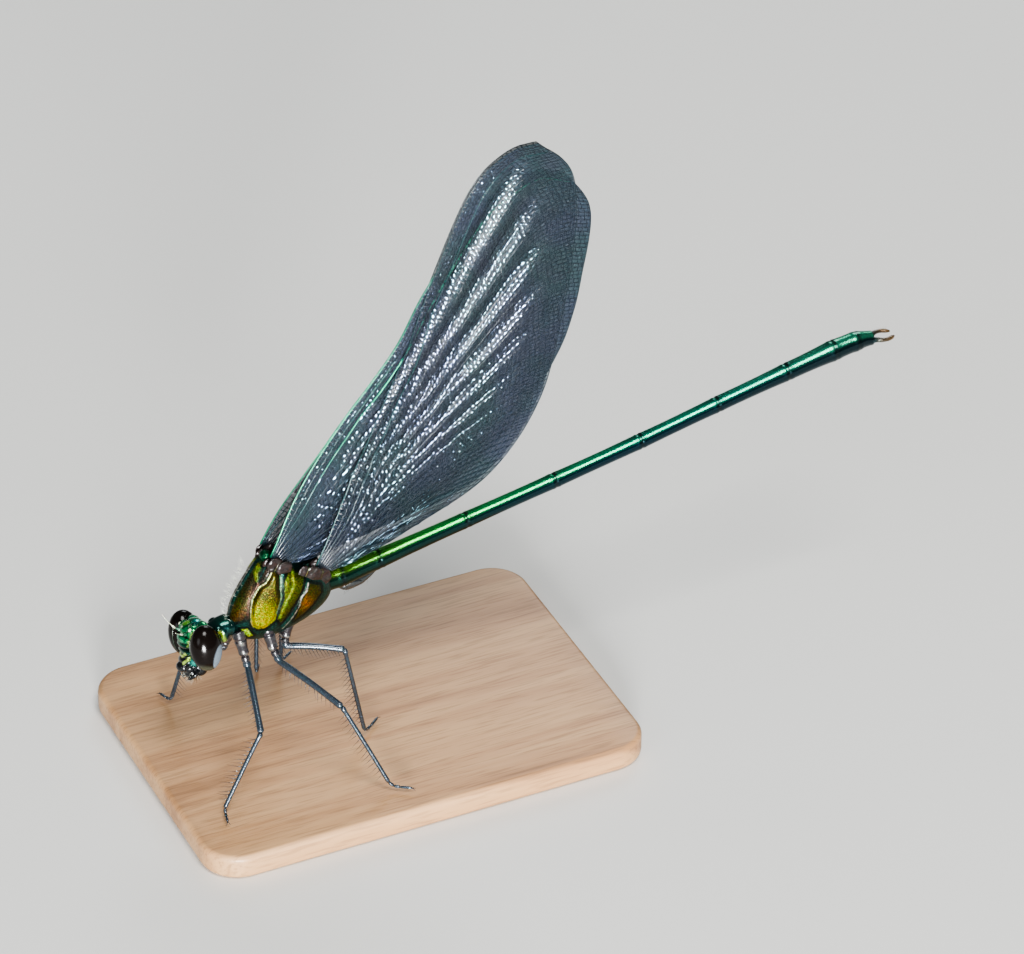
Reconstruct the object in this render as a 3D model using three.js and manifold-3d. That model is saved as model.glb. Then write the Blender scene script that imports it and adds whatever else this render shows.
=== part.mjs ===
// A demoiselle damselfly at life size, standing with closed wings on a small plain base.
// Millimetres, +Z up, tail towards +X, origin in the middle of the base's underside.

import * as THREE from "three";
import { mergeVertices } from "three/addons/utils/BufferGeometryUtils.js";
import Module from "manifold-3d";

// Gap between neighbouring pieces, and the stand
const GAP = 0.3;
const BASE_LENGTH = 36;
const BASE_WIDTH = 26;
const BASE_THICKNESS = 2;
const BASE_CORNER = 3;
const BASE_BEVEL = 0.4;

// The middle of the thorax: how far it stands over the feet, and where it is over the base
const THORAX_HEIGHT = 12;
const THORAX_X = -7;
const FLOOR = -THORAX_HEIGHT;

// Thorax: height, front, rear and half width of its level sections, from the middle of the thorax
const THORAX_SECTIONS = [
  [-2.6, -3.0, -0.4, 0.7],
  [-2.0, -3.9, 1.3, 1.25],
  [-1.0, -4.25, 3.3, 1.65],
  [0.0, -4.2, 4.1, 1.85],
  [1.0, -3.85, 4.05, 1.9],
  [2.0, -3.25, 3.8, 1.85],
  [2.9, -2.65, 2.3, 1.65],
  [3.7, -2.15, 0.7, 1.35],
  [4.3, -1.7, -0.2, 0.85],
];
const THORAX_NARROWING = 0.2;

// Prothorax: place along the body, height, half width and half height
const PROTHORAX_SECTIONS = [
  [-6.1, -1.1, 0.55, 0.6],
  [-5.5, -1.1, 0.85, 0.9],
  [-5.0, -1.0, 1.05, 1.15],
  [-4.4, -1.0, 1.0, 1.2],
  [-3.8, -1.1, 0.9, 1.0],
];

// Head: middle, turn to its left, roll, and the half sizes of the capsule, eyes and mouthparts
const HEAD_AT = [-6.9, 0, -1.56];
const HEAD_TURN = 0.065;
const HEAD_ROLL = -0.26;
const CAPSULE = { at: [-0.05, 0, 0.1], half: [1.05, 2.05, 1.55] };
const EYE = { at: [0, 1.95, 0], half: [1.23, 1.02, 1.8] };
const FRONS = { at: [-0.72, 0, 0.35], half: [0.55, 0.8, 0.6] };
const OCELLI = [[-0.55, 0, 1.52], [-0.15, 0.42, 1.6], [-0.15, -0.42, 1.6]];
const OCELLUS_RADIUS = 0.15;
const MOUTH = [
  { at: [-0.5, 0, -1.2], half: [0.85, 1.15, 0.75] },
  { at: [-0.85, 0, -1.95], half: [0.55, 0.85, 0.6] },
  { at: [-0.25, 0.62, -2.0], half: [0.7, 0.5, 0.75] },
  { at: [-0.25, -0.62, -2.0], half: [0.7, 0.5, 0.75] },
  { at: [-0.2, 0, -2.45], half: [0.6, 0.6, 0.65] },
];
const ANTENNA_ROOT = [-1.0, 0.5, 0.75];
const ANTENNA_REACH = { left: [-2.2, -1.9, 1.9], right: [-2.0, 0.75, 2.5] };
const ANTENNA_RADIUS = [0.27, 0.25, 0.2, 0.12];

// Abdomen: joints between its ten segments as [along, up], and the half width at each joint
const ABDOMEN_JOINTS = [
  [3.7, 0.75], [4.9, 0.8], [8.0, 1.35], [15.2, 2.75], [22.6, 4.2], [29.8, 5.7],
  [36.3, 7.2], [42.2, 8.5], [46.2, 9.35], [48.2, 9.65], [49.5, 9.6],
];
const ABDOMEN_RADII = [0.95, 0.92, 0.78, 0.64, 0.62, 0.62, 0.64, 0.72, 0.86, 0.82, 0.6];
const ABDOMEN_WAIST = 0.93;
const CERCUS = { length: 1.7, spread: 0.75, radius: 0.25 };
const GENITALIA = { from: [5.3, -0.35], to: [7.7, 0.1], half: 0.42 };

// Wings: root, slope in degrees, how far each stands out from the middle at its root and along
// its length, and its leading edge and hind margin as [along, across] from the root
const WING_THICKNESS = 0.45;
const WING_STEPS = 11;
const FOREWING = {
  root: [-0.54, 4.4],
  slope: 48,
  rootOut: 0.95,
  out: 0.375,
  ease: 2.5,
  leading: [
    [0, -0.7], [4.7, -1.8], [11, -2.4], [18, -2.7], [23.1, -3.8], [30.5, -4.5], [34.6, -3.2], [36.1, -0.4],
  ],
  margin: [
    [36.1, -0.4], [34.9, 3.4], [31.5, 6.1], [24.7, 9.6], [16.2, 10.5], [8.6, 8.0], [2.9, 3.9], [0, 1],
  ],
};
const HINDWING = {
  root: [3.0, 2.75],
  slope: 61,
  rootOut: 1.25,
  out: 1.245,
  ease: 4,
  leading: [
    [0, -0.7], [5, -0.75], [11, -1.0], [17.3, -1.4], [23, -2.2], [31.3, -2.9], [35, -1.7], [36.6, 0.4],
  ],
  margin: [
    [36.6, 0.4], [35.3, 4.2], [31.3, 6.9], [25, 9.4], [17, 11.5], [10, 10.4], [4.3, 5.6], [0, 0.9],
  ],
};
const WING_PAD = { at: [-0.35, 0, -0.15], half: [0.85, 0.62, 1.15] };
const WING_ROOM = { along: 6, across: 0.4, out: 0.3 };

// Main veins: the share of the hind margin at which each ends, and how high and wide each stands
const VEINS = [0, 0.07, 0.2, 0.34, 0.48, 0.62, 0.75, 0.88, 1];
const VEIN_HEIGHT = 0.12;
const VEIN_HALF = 0.018;
const EDGE_HEIGHT = 0.6;
const WIDE_CELL = 0.1;

// Legs from the middle of the thorax: coxa's root, hip, knee, ankle and toe
const LEGS = {
  fore_left: [
    [-3.7, -0.8, -1.6], [-3.4, -1.5, -3.9], [-4.4, -6.35, -6.65], [-8.05, -7.75, -11.5], [-8.3, -8.9, -11.85],
  ],
  mid_left: [
    [-1.5, -1.0, -1.6], [-1.2, -1.9, -3.85], [1.7, -7.43, -5.44], [4.25, -10.05, -11.5], [5.73, -11, -11.85],
  ],
  hind_left: [
    [0.4, -0.7, -1.4], [-0.3, -1.0, -3.5], [3.9, -2.95, -3.83], [5.2, -3.35, -11.5], [6.9, -1.98, -11.85],
  ],
  fore_right: [
    [-3.8, 0.8, -1.6], [-4.1, 1.2, -4.0], [-4.9, 5.9, -5.6], [-6.5, 6.5, -11.5], [-6.94, 7.81, -11.85],
  ],
  mid_right: [
    [-1.6, 1.0, -1.6], [-1.3, 1.9, -3.85], [1.2, 7.6, -4.6], [0.7, 7.0, -11.5], [1.3, 8.0, -11.85],
  ],
  hind_right: [
    [0.4, 0.7, -1.4], [-0.3, 1.0, -3.5], [2.2, 5.0, -3.9], [3.0, 7.6, -11.5], [4.2, 8.5, -11.85],
  ],
};
const COXA_RADIUS = [0.5, 0.32];
const FEMUR_RADIUS = 0.27;
const TIBIA_RADIUS = 0.25;
const TARSUS_RADIUS = [0.25, 0.14];
const JOINT_RADIUS = 0.16;
const JOINT_TAPER = 0.45;
const JOINT_GAP = 0.2;

// Spines: how many in each of the two rows of a leg part, their length, thickness, splay and lean
const SPINES = 7;
const SPINE_LENGTH = { femur: 0.95, tibia: 1.2 };
const SPINE_RADIUS = 0.18;
const SPINE_ROOT = 0.05;
const SPINE_SPLAY = 0.5;
const SPINE_LEAN = 0.55;
const SPINE_STRETCH = [0.13, 0.85];
const CLAW = { length: 0.5, radius: 0.12, splay: 0.45 };

const wasm = await Module();
wasm.setup();

const vec = (x, y, z) => new THREE.Vector3(x, y, z);

function geometryFrom(points, faces) {
  const geometry = new THREE.BufferGeometry();
  const places = points.flatMap((p) => [p.x, p.y, p.z]);
  geometry.setAttribute("position", new THREE.Float32BufferAttribute(places, 3));
  geometry.setIndex(faces);
  return geometry;
}

// A closed solid through rings of points that turn anticlockwise about the way they run
function loft(rings) {
  const sides = rings[0].length;
  const points = rings.flat();
  const faces = [];
  for (let i = 0; i + 1 < rings.length; i++) {
    for (let k = 0; k < sides; k++) {
      const a = i * sides + k;
      const b = i * sides + ((k + 1) % sides);
      faces.push(a, b, b + sides, a, b + sides, a + sides);
    }
  }
  const middle = (ring) => ring.reduce((sum, p) => sum.add(p), vec(0, 0, 0)).divideScalar(sides);
  const last = (rings.length - 1) * sides;
  const start = points.push(middle(rings[0])) - 1;
  const end = points.push(middle(rings[rings.length - 1])) - 1;
  for (let k = 0; k < sides; k++) {
    const next = (k + 1) % sides;
    faces.push(start, next, k, end, last + k, last + next);
  }
  return geometryFrom(points, faces);
}

// One ring of a rounded section: middle, two axes with their half sizes, and how square it is
function ring(middle, first, second, halfFirst, halfSecond, sides, square = 1) {
  return Array.from({ length: sides }, (_, k) => {
    const turn = (2 * Math.PI * k) / sides;
    const bend = (x) => Math.sign(x) * Math.abs(x) ** square;
    return middle
      .clone()
      .addScaledVector(first, halfFirst * bend(Math.cos(turn)))
      .addScaledVector(second, halfSecond * bend(Math.sin(turn)));
  });
}

// A tapered round limb through a few points, with one radius at each
function limb(points, radii, sides) {
  const rings = points.map((point, i) => {
    const before = points[Math.max(i - 1, 0)];
    const after = points[Math.min(i + 1, points.length - 1)];
    const along = after.clone().sub(before).normalize();
    const aside = Math.abs(along.y) > 0.9 ? vec(1, 0, 0) : vec(0, 1, 0);
    const first = aside.cross(along).normalize();
    const second = along.clone().cross(first);
    return ring(point, first, second, radii[i], radii[i], sides);
  });
  return loft(rings);
}

function ellipsoid({ at, half }, extra, across, down) {
  const geometry = new THREE.SphereGeometry(1, across, down);
  geometry.scale(half[0] + extra, half[1] + extra, half[2] + extra);
  geometry.translate(...at);
  return geometry;
}

function toSolid(geometry) {
  const bare = geometry.clone();
  bare.deleteAttribute("normal");
  bare.deleteAttribute("uv");
  const merged = mergeVertices(bare, 1e-4);
  const mesh = new wasm.Mesh({
    numProp: 3,
    vertProperties: merged.attributes.position.array,
    triVerts: new Uint32Array(merged.index.array),
  });
  return new wasm.Manifold(mesh);
}

// The largest closed surface of a solid, as a geometry
function toGeometry(solid) {
  const pieces = solid.decompose();
  const largest = pieces.reduce((a, b) => (a.volume() > b.volume() ? a : b));
  const mesh = largest.getMesh();
  const geometry = new THREE.BufferGeometry();
  geometry.setAttribute("position", new THREE.BufferAttribute(mesh.vertProperties, 3));
  geometry.setIndex(new THREE.BufferAttribute(mesh.triVerts, 1));
  return geometry;
}

function join(geometries) {
  return toGeometry(geometries.map(toSolid).reduce((a, b) => a.add(b)));
}

function cut(geometry, cutters) {
  return toGeometry(cutters.map(toSolid).reduce((left, cutter) => left.subtract(cutter), toSolid(geometry)));
}

const LOOKS = {
  emerald: { color: 0x1f8a5c, roughness: 0.28, metalness: 0.7 },
  gold: { color: 0x9c9a22, roughness: 0.35, metalness: 0.6 },
  eye: { color: 0x0c0908, roughness: 0.08, metalness: 0 },
  black: { color: 0x14171a, roughness: 0.35, metalness: 0.1 },
  leg: { color: 0x3a4450, roughness: 0.4, metalness: 0.2 },
  wing: { color: 0x2e4550, roughness: 0.2, metalness: 0.1, transparent: true, opacity: 0.6 },
  abdomen: { color: 0x137a5e, roughness: 0.25, metalness: 0.75 },
  stand: { color: 0xb99a72, roughness: 0.6, metalness: 0 },
};

function piece(name, geometry, look) {
  const mesh = new THREE.Mesh(geometry, new THREE.MeshStandardMaterial(LOOKS[look]));
  mesh.name = name;
  return mesh;
}

// Thorax
function thoraxShape(extra) {
  const last = THORAX_SECTIONS.length - 1;
  const rings = THORAX_SECTIONS.map(([z, front, rear, half], i) => {
    const lift = i === 0 ? -extra : i === last ? extra : 0;
    const middle = vec((front + rear) / 2, 0, z + lift);
    const length = (rear - front) / 2 + extra;
    const points = ring(middle, vec(1, 0, 0), vec(0, 1, 0), length, half + extra, 20, 0.8);
    for (const p of points) {
      const ahead = THREE.MathUtils.clamp((middle.x - p.x) / (middle.x - front), 0, 1);
      p.y *= 1 - THORAX_NARROWING * ahead ** 2;
    }
    return points;
  });
  return loft(rings);
}

// Clear room round a wing's root, turned with the wing
function wingRoom(wing, side) {
  const [front, back] = [wing.leading[0][1], wing.margin[wing.margin.length - 1][1]];
  const wide = back - front + 2 * GAP + WING_ROOM.across;
  const room = new THREE.BoxGeometry(WING_ROOM.along, WING_THICKNESS + 2 * GAP + WING_ROOM.out, wide);
  room.translate(WING_ROOM.along / 2 - GAP, 0, -(front + back) / 2);
  room.rotateY(-THREE.MathUtils.degToRad(wing.slope));
  room.translate(wing.root[0], side * wing.rootOut, wing.root[1]);
  return room;
}

// The pad of hard plates that a wing is hinged on
function wingPad(wing, side) {
  const pad = ellipsoid(WING_PAD, 0, 12, 8);
  pad.rotateY(-THREE.MathUtils.degToRad(wing.slope));
  pad.translate(wing.root[0], side * wing.rootOut, wing.root[1]);
  return pad;
}

function thorax() {
  const wings = [FOREWING, HINDWING].flatMap((wing) => [[wing, -1], [wing, 1]]);
  const whole = join([thoraxShape(0), ...wings.map(([wing, side]) => wingPad(wing, side))]);
  return cut(whole, wings.map(([wing, side]) => wingRoom(wing, side)));
}

// Head, in its own turned group
const head = new THREE.Group();
head.position.set(...HEAD_AT);
head.rotation.set(HEAD_ROLL, 0, HEAD_TURN, "ZYX");
head.updateMatrix();

const mirrored = ({ at, half }, side) => ({ at: [at[0], side * at[1], at[2]], half });

const EYE_FACETS = [18, 11];
const HEAD_FACETS = [18, 10];
const LOBE_FACETS = [10, 7];
const OCELLUS_FACETS = [6, 4];

function headShape(extra) {
  return ellipsoid(CAPSULE, extra, ...HEAD_FACETS);
}

function fronsShape(extra) {
  return ellipsoid(FRONS, extra, ...LOBE_FACETS);
}

function eyeRoom() {
  return [-1, 1].map((side) => ellipsoid(mirrored(EYE, side), GAP, ...EYE_FACETS));
}

function capsule() {
  const half = [OCELLUS_RADIUS, OCELLUS_RADIUS, OCELLUS_RADIUS];
  const ocelli = OCELLI.map((at) => ellipsoid({ at, half }, 0, ...OCELLUS_FACETS));
  return cut(join([headShape(0), fronsShape(0), ...ocelli]), eyeRoom());
}

function mouthparts() {
  const lobes = join(MOUTH.map((lobe) => ellipsoid(lobe, 0, ...LOBE_FACETS)));
  return cut(lobes, [headShape(GAP), fronsShape(GAP), ...eyeRoom()]);
}

function antenna(name, side) {
  const root = vec(ANTENNA_ROOT[0], side * ANTENNA_ROOT[1], ANTENNA_ROOT[2]);
  const tip = vec(...ANTENNA_REACH[name]);
  const along = [0, 0.25, 0.6, 1].map((share) => root.clone().lerp(tip, share));
  return cut(limb(along, ANTENNA_RADIUS, 7), [headShape(GAP), fronsShape(GAP)]);
}

head.add(piece("head", capsule(), "emerald"));
head.add(piece("mouthparts", mouthparts(), "black"));
for (const [name, side] of [["left", -1], ["right", 1]]) {
  head.add(piece("eye_" + name, ellipsoid(mirrored(EYE, side), 0, ...EYE_FACETS), "eye"));
  head.add(piece("antenna_" + name, antenna(name, side), "black"));
}

function prothoraxShape(extra) {
  const rings = PROTHORAX_SECTIONS.map(([x, z, halfWidth, halfHeight]) => {
    return ring(vec(x, 0, z), vec(0, 1, 0), vec(0, 0, 1), halfWidth + extra, halfHeight + extra, 14, 0.85);
  });
  return loft(rings);
}

function prothorax() {
  const headRoom = [headShape(GAP), ...eyeRoom()].map((room) => room.applyMatrix4(head.matrix));
  return cut(prothoraxShape(0), [thoraxShape(GAP), ...headRoom]);
}

// Abdomen
const abdomenLine = new THREE.CatmullRomCurve3(ABDOMEN_JOINTS.map(([x, z]) => vec(x, 0, z)));

function abdomenRing(place, radius, sides) {
  const inside = THREE.MathUtils.clamp(place, 0, 1);
  const along = abdomenLine.getTangent(inside);
  const beyond = (place - inside) * abdomenLine.getLength();
  const point = abdomenLine.getPoint(inside).addScaledVector(along, beyond);
  const across = vec(0, 1, 0);
  return ring(point, across, along.clone().cross(across), radius, radius, sides);
}

function abdomenSegment(index, extra = 0) {
  const count = ABDOMEN_JOINTS.length - 1;
  const length = Math.hypot(...[0, 1].map((k) => ABDOMEN_JOINTS[index + 1][k] - ABDOMEN_JOINTS[index][k]));
  const margin = (GAP / 2 - extra) / length;
  const shares = [margin, 0.12, 0.35, 0.65, 0.88, 1 - margin];
  const rings = shares.map((share) => {
    const radius = THREE.MathUtils.lerp(ABDOMEN_RADII[index], ABDOMEN_RADII[index + 1], share);
    const waist = share > 0.2 && share < 0.8 ? ABDOMEN_WAIST : 1;
    return abdomenRing((index + share) / count, radius * waist + extra, 14);
  });
  return loft(rings);
}

function cercus(side) {
  const end = abdomenLine.getPoint(1);
  const along = abdomenLine.getTangent(1);
  const steps = [0, 0.3, 0.6, 0.85, 1];
  const points = steps.map((share) => {
    const out = 0.3 + CERCUS.spread * Math.sin(Math.PI * share) * 0.5;
    return end.clone().addScaledVector(along, GAP / 2 + CERCUS.length * share).add(vec(0, side * out, 0));
  });
  const radii = [1, 0.95, 0.85, 0.75, 0.45].map((share) => share * CERCUS.radius);
  return limb(points, radii, 8);
}

function genitalia() {
  const [from, to] = [GENITALIA.from, GENITALIA.to].map(([x, z]) => vec(x, 0, z));
  const points = [0, 0.25, 0.6, 1].map((share) => from.clone().lerp(to, share));
  const radii = [0.55, 1, 0.9, 0.5].map((share) => share * GENITALIA.half);
  return cut(limb(points, radii, 10), [0, 1, 2].map((index) => abdomenSegment(index, GAP)));
}

// Wings
function wingRow(wing, share) {
  const flat = (list) => new THREE.CatmullRomCurve3(list.map(([s, t]) => vec(s, t, 0)));
  const leading = flat(wing.leading);
  const margin = flat(wing.margin);
  const root = leading.getPoint(0).lerp(margin.getPoint(1), share);
  const curveTo = (end, start) => {
    const bend = vec(start.x + 0.6 * (end.x - start.x), start.y + 0.35 * (end.y - start.y), 0);
    return new THREE.QuadraticBezierCurve3(start, bend, end);
  };
  const own = curveTo(margin.getPointAt(share), root);
  const first = curveTo(margin.getPoint(0), leading.getPoint(0));
  const hold = (1 - share) ** 3;
  return (along) => {
    const shift = leading.getPoint(along).sub(first.getPoint(along)).multiplyScalar(hold);
    return own.getPoint(along).add(shift);
  };
}

// The rows that a wing is made of, as [share, height], with three rows to each main vein
function wingRows() {
  const last = VEINS.length - 1;
  return VEINS.flatMap((vein, i) => {
    if (i === 0) return [[vein, 1], [vein + VEIN_HALF, 1], [vein + 2 * VEIN_HALF, 0]];
    if (i === last) return [[vein - VEIN_HALF, 0], [vein, EDGE_HEIGHT]];
    const own = [[vein - VEIN_HALF, 0], [vein, 1], [vein + VEIN_HALF, 0]];
    return VEINS[i + 1] - vein > WIDE_CELL ? [...own, [(vein + VEINS[i + 1]) / 2, 0]] : own;
  });
}

function wingSolid(wing, side) {
  const rows = wingRows();
  const steps = Array.from({ length: WING_STEPS + 1 }, (_, i) => i / WING_STEPS);
  const slope = THREE.MathUtils.degToRad(wing.slope);
  const points = [];
  for (const face of [1, -1]) {
    for (const [share, height] of rows) {
      const row = wingRow(wing, share);
      for (const along of steps) {
        const { x: s, y: t } = row(along);
        const middle = wing.out + (wing.rootOut - wing.out) * Math.exp(-((s / wing.ease) ** 2));
        const raised = face === side ? height * VEIN_HEIGHT * (1 - along / 2) : 0;
        const y = side * middle + face * (WING_THICKNESS / 2 + raised);
        const x = wing.root[0] + s * Math.cos(slope) + t * Math.sin(slope);
        const z = wing.root[1] + s * Math.sin(slope) - t * Math.cos(slope);
        points.push(vec(x, y, z));
      }
    }
  }
  const wide = steps.length;
  const layer = rows.length * wide;
  const faces = [];
  const quad = (a, b, c, d) => faces.push(a, b, c, a, c, d);
  for (let i = 0; i + 1 < rows.length; i++) {
    for (let k = 0; k + 1 < wide; k++) {
      const a = i * wide + k;
      const [b, c, d] = [a + 1, a + wide + 1, a + wide];
      faces.push(a, b, c, a, c, d);
      faces.push(a + layer, c + layer, b + layer, a + layer, d + layer, c + layer);
    }
  }
  for (let k = 0; k + 1 < wide; k++) {
    quad(k, k + layer, k + 1 + layer, k + 1);
    const a = layer - wide + k;
    quad(a, a + 1, a + 1 + layer, a + layer);
  }
  for (let i = 0; i + 1 < rows.length; i++) {
    const a = i * wide;
    quad(a, a + wide, a + wide + layer, a + layer);
    const b = a + wide - 1;
    quad(b, b + layer, b + wide + layer, b + wide);
  }
  return geometryFrom(points, faces);
}

// Legs
function coxa(root, hip) {
  return cut(limb([root, hip], COXA_RADIUS, 8), [thoraxShape(GAP), prothoraxShape(GAP)]);
}

// A spine or claw from a point inside a limb
function spine(start, way, length, radius) {
  const cone = new THREE.ConeGeometry(radius, length, 4, 1);
  cone.translate(0, length / 2, 0);
  cone.applyQuaternion(new THREE.Quaternion().setFromUnitVectors(vec(0, 1, 0), way));
  cone.translate(start.x, start.y, start.z);
  return cone;
}

// A leg part with two rows of spines on the side that faces the next or the last part of the leg
function spined(limbShape, from, to, facing, length) {
  const along = to.clone().sub(from).normalize();
  const inward = facing.clone().sub(from).projectOnPlane(along).normalize();
  const spines = [];
  for (const side of [-1, 1]) {
    const out = inward.clone().applyAxisAngle(along, side * SPINE_SPLAY);
    const way = out.multiplyScalar(Math.cos(SPINE_LEAN)).addScaledVector(along, Math.sin(SPINE_LEAN));
    for (let i = 0; i < SPINES; i++) {
      const step = (i + (side > 0 ? 0.5 : 0)) / SPINES;
      const share = THREE.MathUtils.lerp(...SPINE_STRETCH, step);
      const tall = length * (0.75 + 0.25 * Math.sin(Math.PI * share));
      const start = from.clone().lerp(to, share).addScaledVector(way, SPINE_ROOT);
      spines.push(spine(start, way, tall, SPINE_RADIUS));
    }
  }
  return join([limbShape, ...spines]);
}

function legPart(from, to, radius) {
  const length = from.distanceTo(to);
  const near = [JOINT_GAP, JOINT_GAP + JOINT_TAPER, length / 2];
  const places = [...near, length - near[1], length - near[0]];
  const along = to.clone().sub(from).normalize();
  const points = places.map((place) => from.clone().addScaledVector(along, place));
  return limb(points, [JOINT_RADIUS, radius, radius, radius, JOINT_RADIUS], 8);
}

function tarsus(ankle, toe) {
  const [thick, thin] = TARSUS_RADIUS;
  const along = toe.clone().sub(ankle).normalize();
  const start = ankle.clone().addScaledVector(along, JOINT_GAP);
  const shares = [0, 0.3, 0.65, 1];
  const radii = [JOINT_RADIUS, thick, thick, thin];
  const points = shares.map((share, i) => {
    const point = start.clone().lerp(toe, share);
    if (i > 0) point.z = FLOOR + radii[i];
    return point;
  });
  const claws = [-1, 1].map((side) => {
    const way = vec(along.x, along.y, 0).normalize().applyAxisAngle(vec(0, 0, 1), side * CLAW.splay);
    return spine(points[3].clone().addScaledVector(way, -SPINE_ROOT), way, CLAW.length, CLAW.radius);
  });
  return join([limb(points, radii, 8), ...claws]);
}

const animal = new THREE.Group();
animal.position.set(THORAX_X, 0, BASE_THICKNESS + GAP + THORAX_HEIGHT);
animal.add(head);
animal.add(piece("prothorax", prothorax(), "emerald"));
animal.add(piece("synthorax", thorax(), "gold"));
for (let index = 0; index < ABDOMEN_JOINTS.length - 1; index++) {
  const shape = index === 0 ? cut(abdomenSegment(0), [thoraxShape(GAP)]) : abdomenSegment(index);
  animal.add(piece("abdomen_" + (index + 1), shape, "abdomen"));
}
animal.add(piece("genitalia", genitalia(), "black"));
for (const [name, side] of [["left", -1], ["right", 1]]) {
  animal.add(piece("cercus_" + name, cercus(side), "black"));
  animal.add(piece("forewing_" + name, wingSolid(FOREWING, side), "wing"));
  animal.add(piece("hindwing_" + name, wingSolid(HINDWING, side), "wing"));
}
for (const [name, places] of Object.entries(LEGS)) {
  const [root, hip, knee, ankle, toe] = places.map((place) => vec(...place));
  animal.add(piece("coxa_" + name, coxa(root, hip), "leg"));
  const femur = spined(legPart(hip, knee, FEMUR_RADIUS), hip, knee, ankle, SPINE_LENGTH.femur);
  const tibia = spined(legPart(knee, ankle, TIBIA_RADIUS), knee, ankle, hip, SPINE_LENGTH.tibia);
  animal.add(piece("femur_" + name, femur, "leg"));
  animal.add(piece("tibia_" + name, tibia, "leg"));
  animal.add(piece("tarsus_" + name, tarsus(ankle, toe), "leg"));
}

// Stand
function standBase() {
  const [x, y] = [BASE_LENGTH / 2 - BASE_BEVEL, BASE_WIDTH / 2 - BASE_BEVEL];
  const outline = new THREE.Shape();
  outline.moveTo(x, y - BASE_CORNER);
  outline.absarc(x - BASE_CORNER, y - BASE_CORNER, BASE_CORNER, 0, Math.PI / 2);
  outline.absarc(BASE_CORNER - x, y - BASE_CORNER, BASE_CORNER, Math.PI / 2, Math.PI);
  outline.absarc(BASE_CORNER - x, BASE_CORNER - y, BASE_CORNER, Math.PI, 1.5 * Math.PI);
  outline.absarc(x - BASE_CORNER, BASE_CORNER - y, BASE_CORNER, 1.5 * Math.PI, 2 * Math.PI);
  const geometry = new THREE.ExtrudeGeometry(outline, {
    depth: BASE_THICKNESS - 2 * BASE_BEVEL,
    bevelThickness: BASE_BEVEL,
    bevelSize: BASE_BEVEL,
    bevelSegments: 1,
    curveSegments: 3,
  });
  geometry.translate(0, 0, BASE_BEVEL);
  return geometry;
}

const damselfly = new THREE.Group();
damselfly.add(animal);
damselfly.add(piece("stand_base", standBase(), "stand"));

export default damselfly;
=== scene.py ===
# %% [markdown]
# # A demoiselle damselfly, life size
# A still model of a male demoiselle on a small wooden base, as a museum shows it. The wings are
# closed over the back, so most of what is seen is a net of veins, metal-green skin and thin legs.
# The lesson goes from the camera to the finishes, and then from the largest piece to the smallest.

# %% Load the frame
import math
import random

import bmesh
import bpy
import numpy as np
from mathutils import Matrix, Vector, noise


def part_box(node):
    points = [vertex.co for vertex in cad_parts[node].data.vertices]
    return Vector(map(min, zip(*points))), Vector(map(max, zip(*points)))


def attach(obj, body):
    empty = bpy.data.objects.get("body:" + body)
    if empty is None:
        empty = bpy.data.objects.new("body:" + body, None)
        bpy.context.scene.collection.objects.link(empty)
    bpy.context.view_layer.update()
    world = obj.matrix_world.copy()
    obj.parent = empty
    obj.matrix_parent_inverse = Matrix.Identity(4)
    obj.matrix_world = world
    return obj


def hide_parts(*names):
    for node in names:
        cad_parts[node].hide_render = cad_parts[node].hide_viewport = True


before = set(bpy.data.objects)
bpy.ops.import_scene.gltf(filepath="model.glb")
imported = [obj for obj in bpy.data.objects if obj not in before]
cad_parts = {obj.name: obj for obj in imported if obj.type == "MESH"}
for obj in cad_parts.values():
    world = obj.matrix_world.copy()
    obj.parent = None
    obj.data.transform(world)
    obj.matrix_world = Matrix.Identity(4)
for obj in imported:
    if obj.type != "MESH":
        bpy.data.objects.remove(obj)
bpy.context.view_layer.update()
print("nodes:", len(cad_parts))

# %% [markdown]
# ## Where things are
# An insect is measured in millimetres, so every piece is modelled in millimetres from the middle
# of the thorax. One matrix takes a finished mesh to metres in the frame. The object itself then
# stays at the origin, so that Object coordinates in a material are places on the real animal.

# %% Millimetres from the middle of the thorax
MM = 0.001
BASE_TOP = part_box("stand_base")[1][2] / MM
THORAX_AT = Vector((-7.0, 0.0, BASE_TOP + 0.3 + 12.0))
FLOOR = -12.0
SIDES = {"left": -1, "right": 1}
TO_WORLD = Matrix.Scale(MM, 4) @ Matrix.Translation(THORAX_AT)
RANDOM = random.Random(7)
print("thorax middle in mm:", THORAX_AT[:])

# %% [markdown]
# ## The camera
# The photo looks down on the animal's left side from ahead. Its long lens keeps the wings from
# spreading, so the camera stands far off with a narrow view. It's built from the thorax: the
# photo shows the thorax at one known place and at a known number of pixels for each millimetre.

# %% Make the camera
AZIMUTH, ELEVATION = math.radians(-25), math.radians(35)
PHOTO_WIDTH, PHOTO_HEIGHT = 1024, 954
THORAX_PIXEL = (280, 600)
PIXELS_PER_MM = 13.4
DISTANCE = 420.0
SENSOR = 36.0

right = Vector((math.cos(AZIMUTH), math.sin(AZIMUTH), 0))
back = Vector((
    math.sin(AZIMUTH) * math.cos(ELEVATION),
    -math.cos(AZIMUTH) * math.cos(ELEVATION),
    math.sin(ELEVATION),
))
up = back.cross(right)
across = (PHOTO_WIDTH / 2 - THORAX_PIXEL[0]) / PIXELS_PER_MM
above = (THORAX_PIXEL[1] - PHOTO_HEIGHT / 2) / PIXELS_PER_MM
looks_at = THORAX_AT + right * across + up * above

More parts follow.
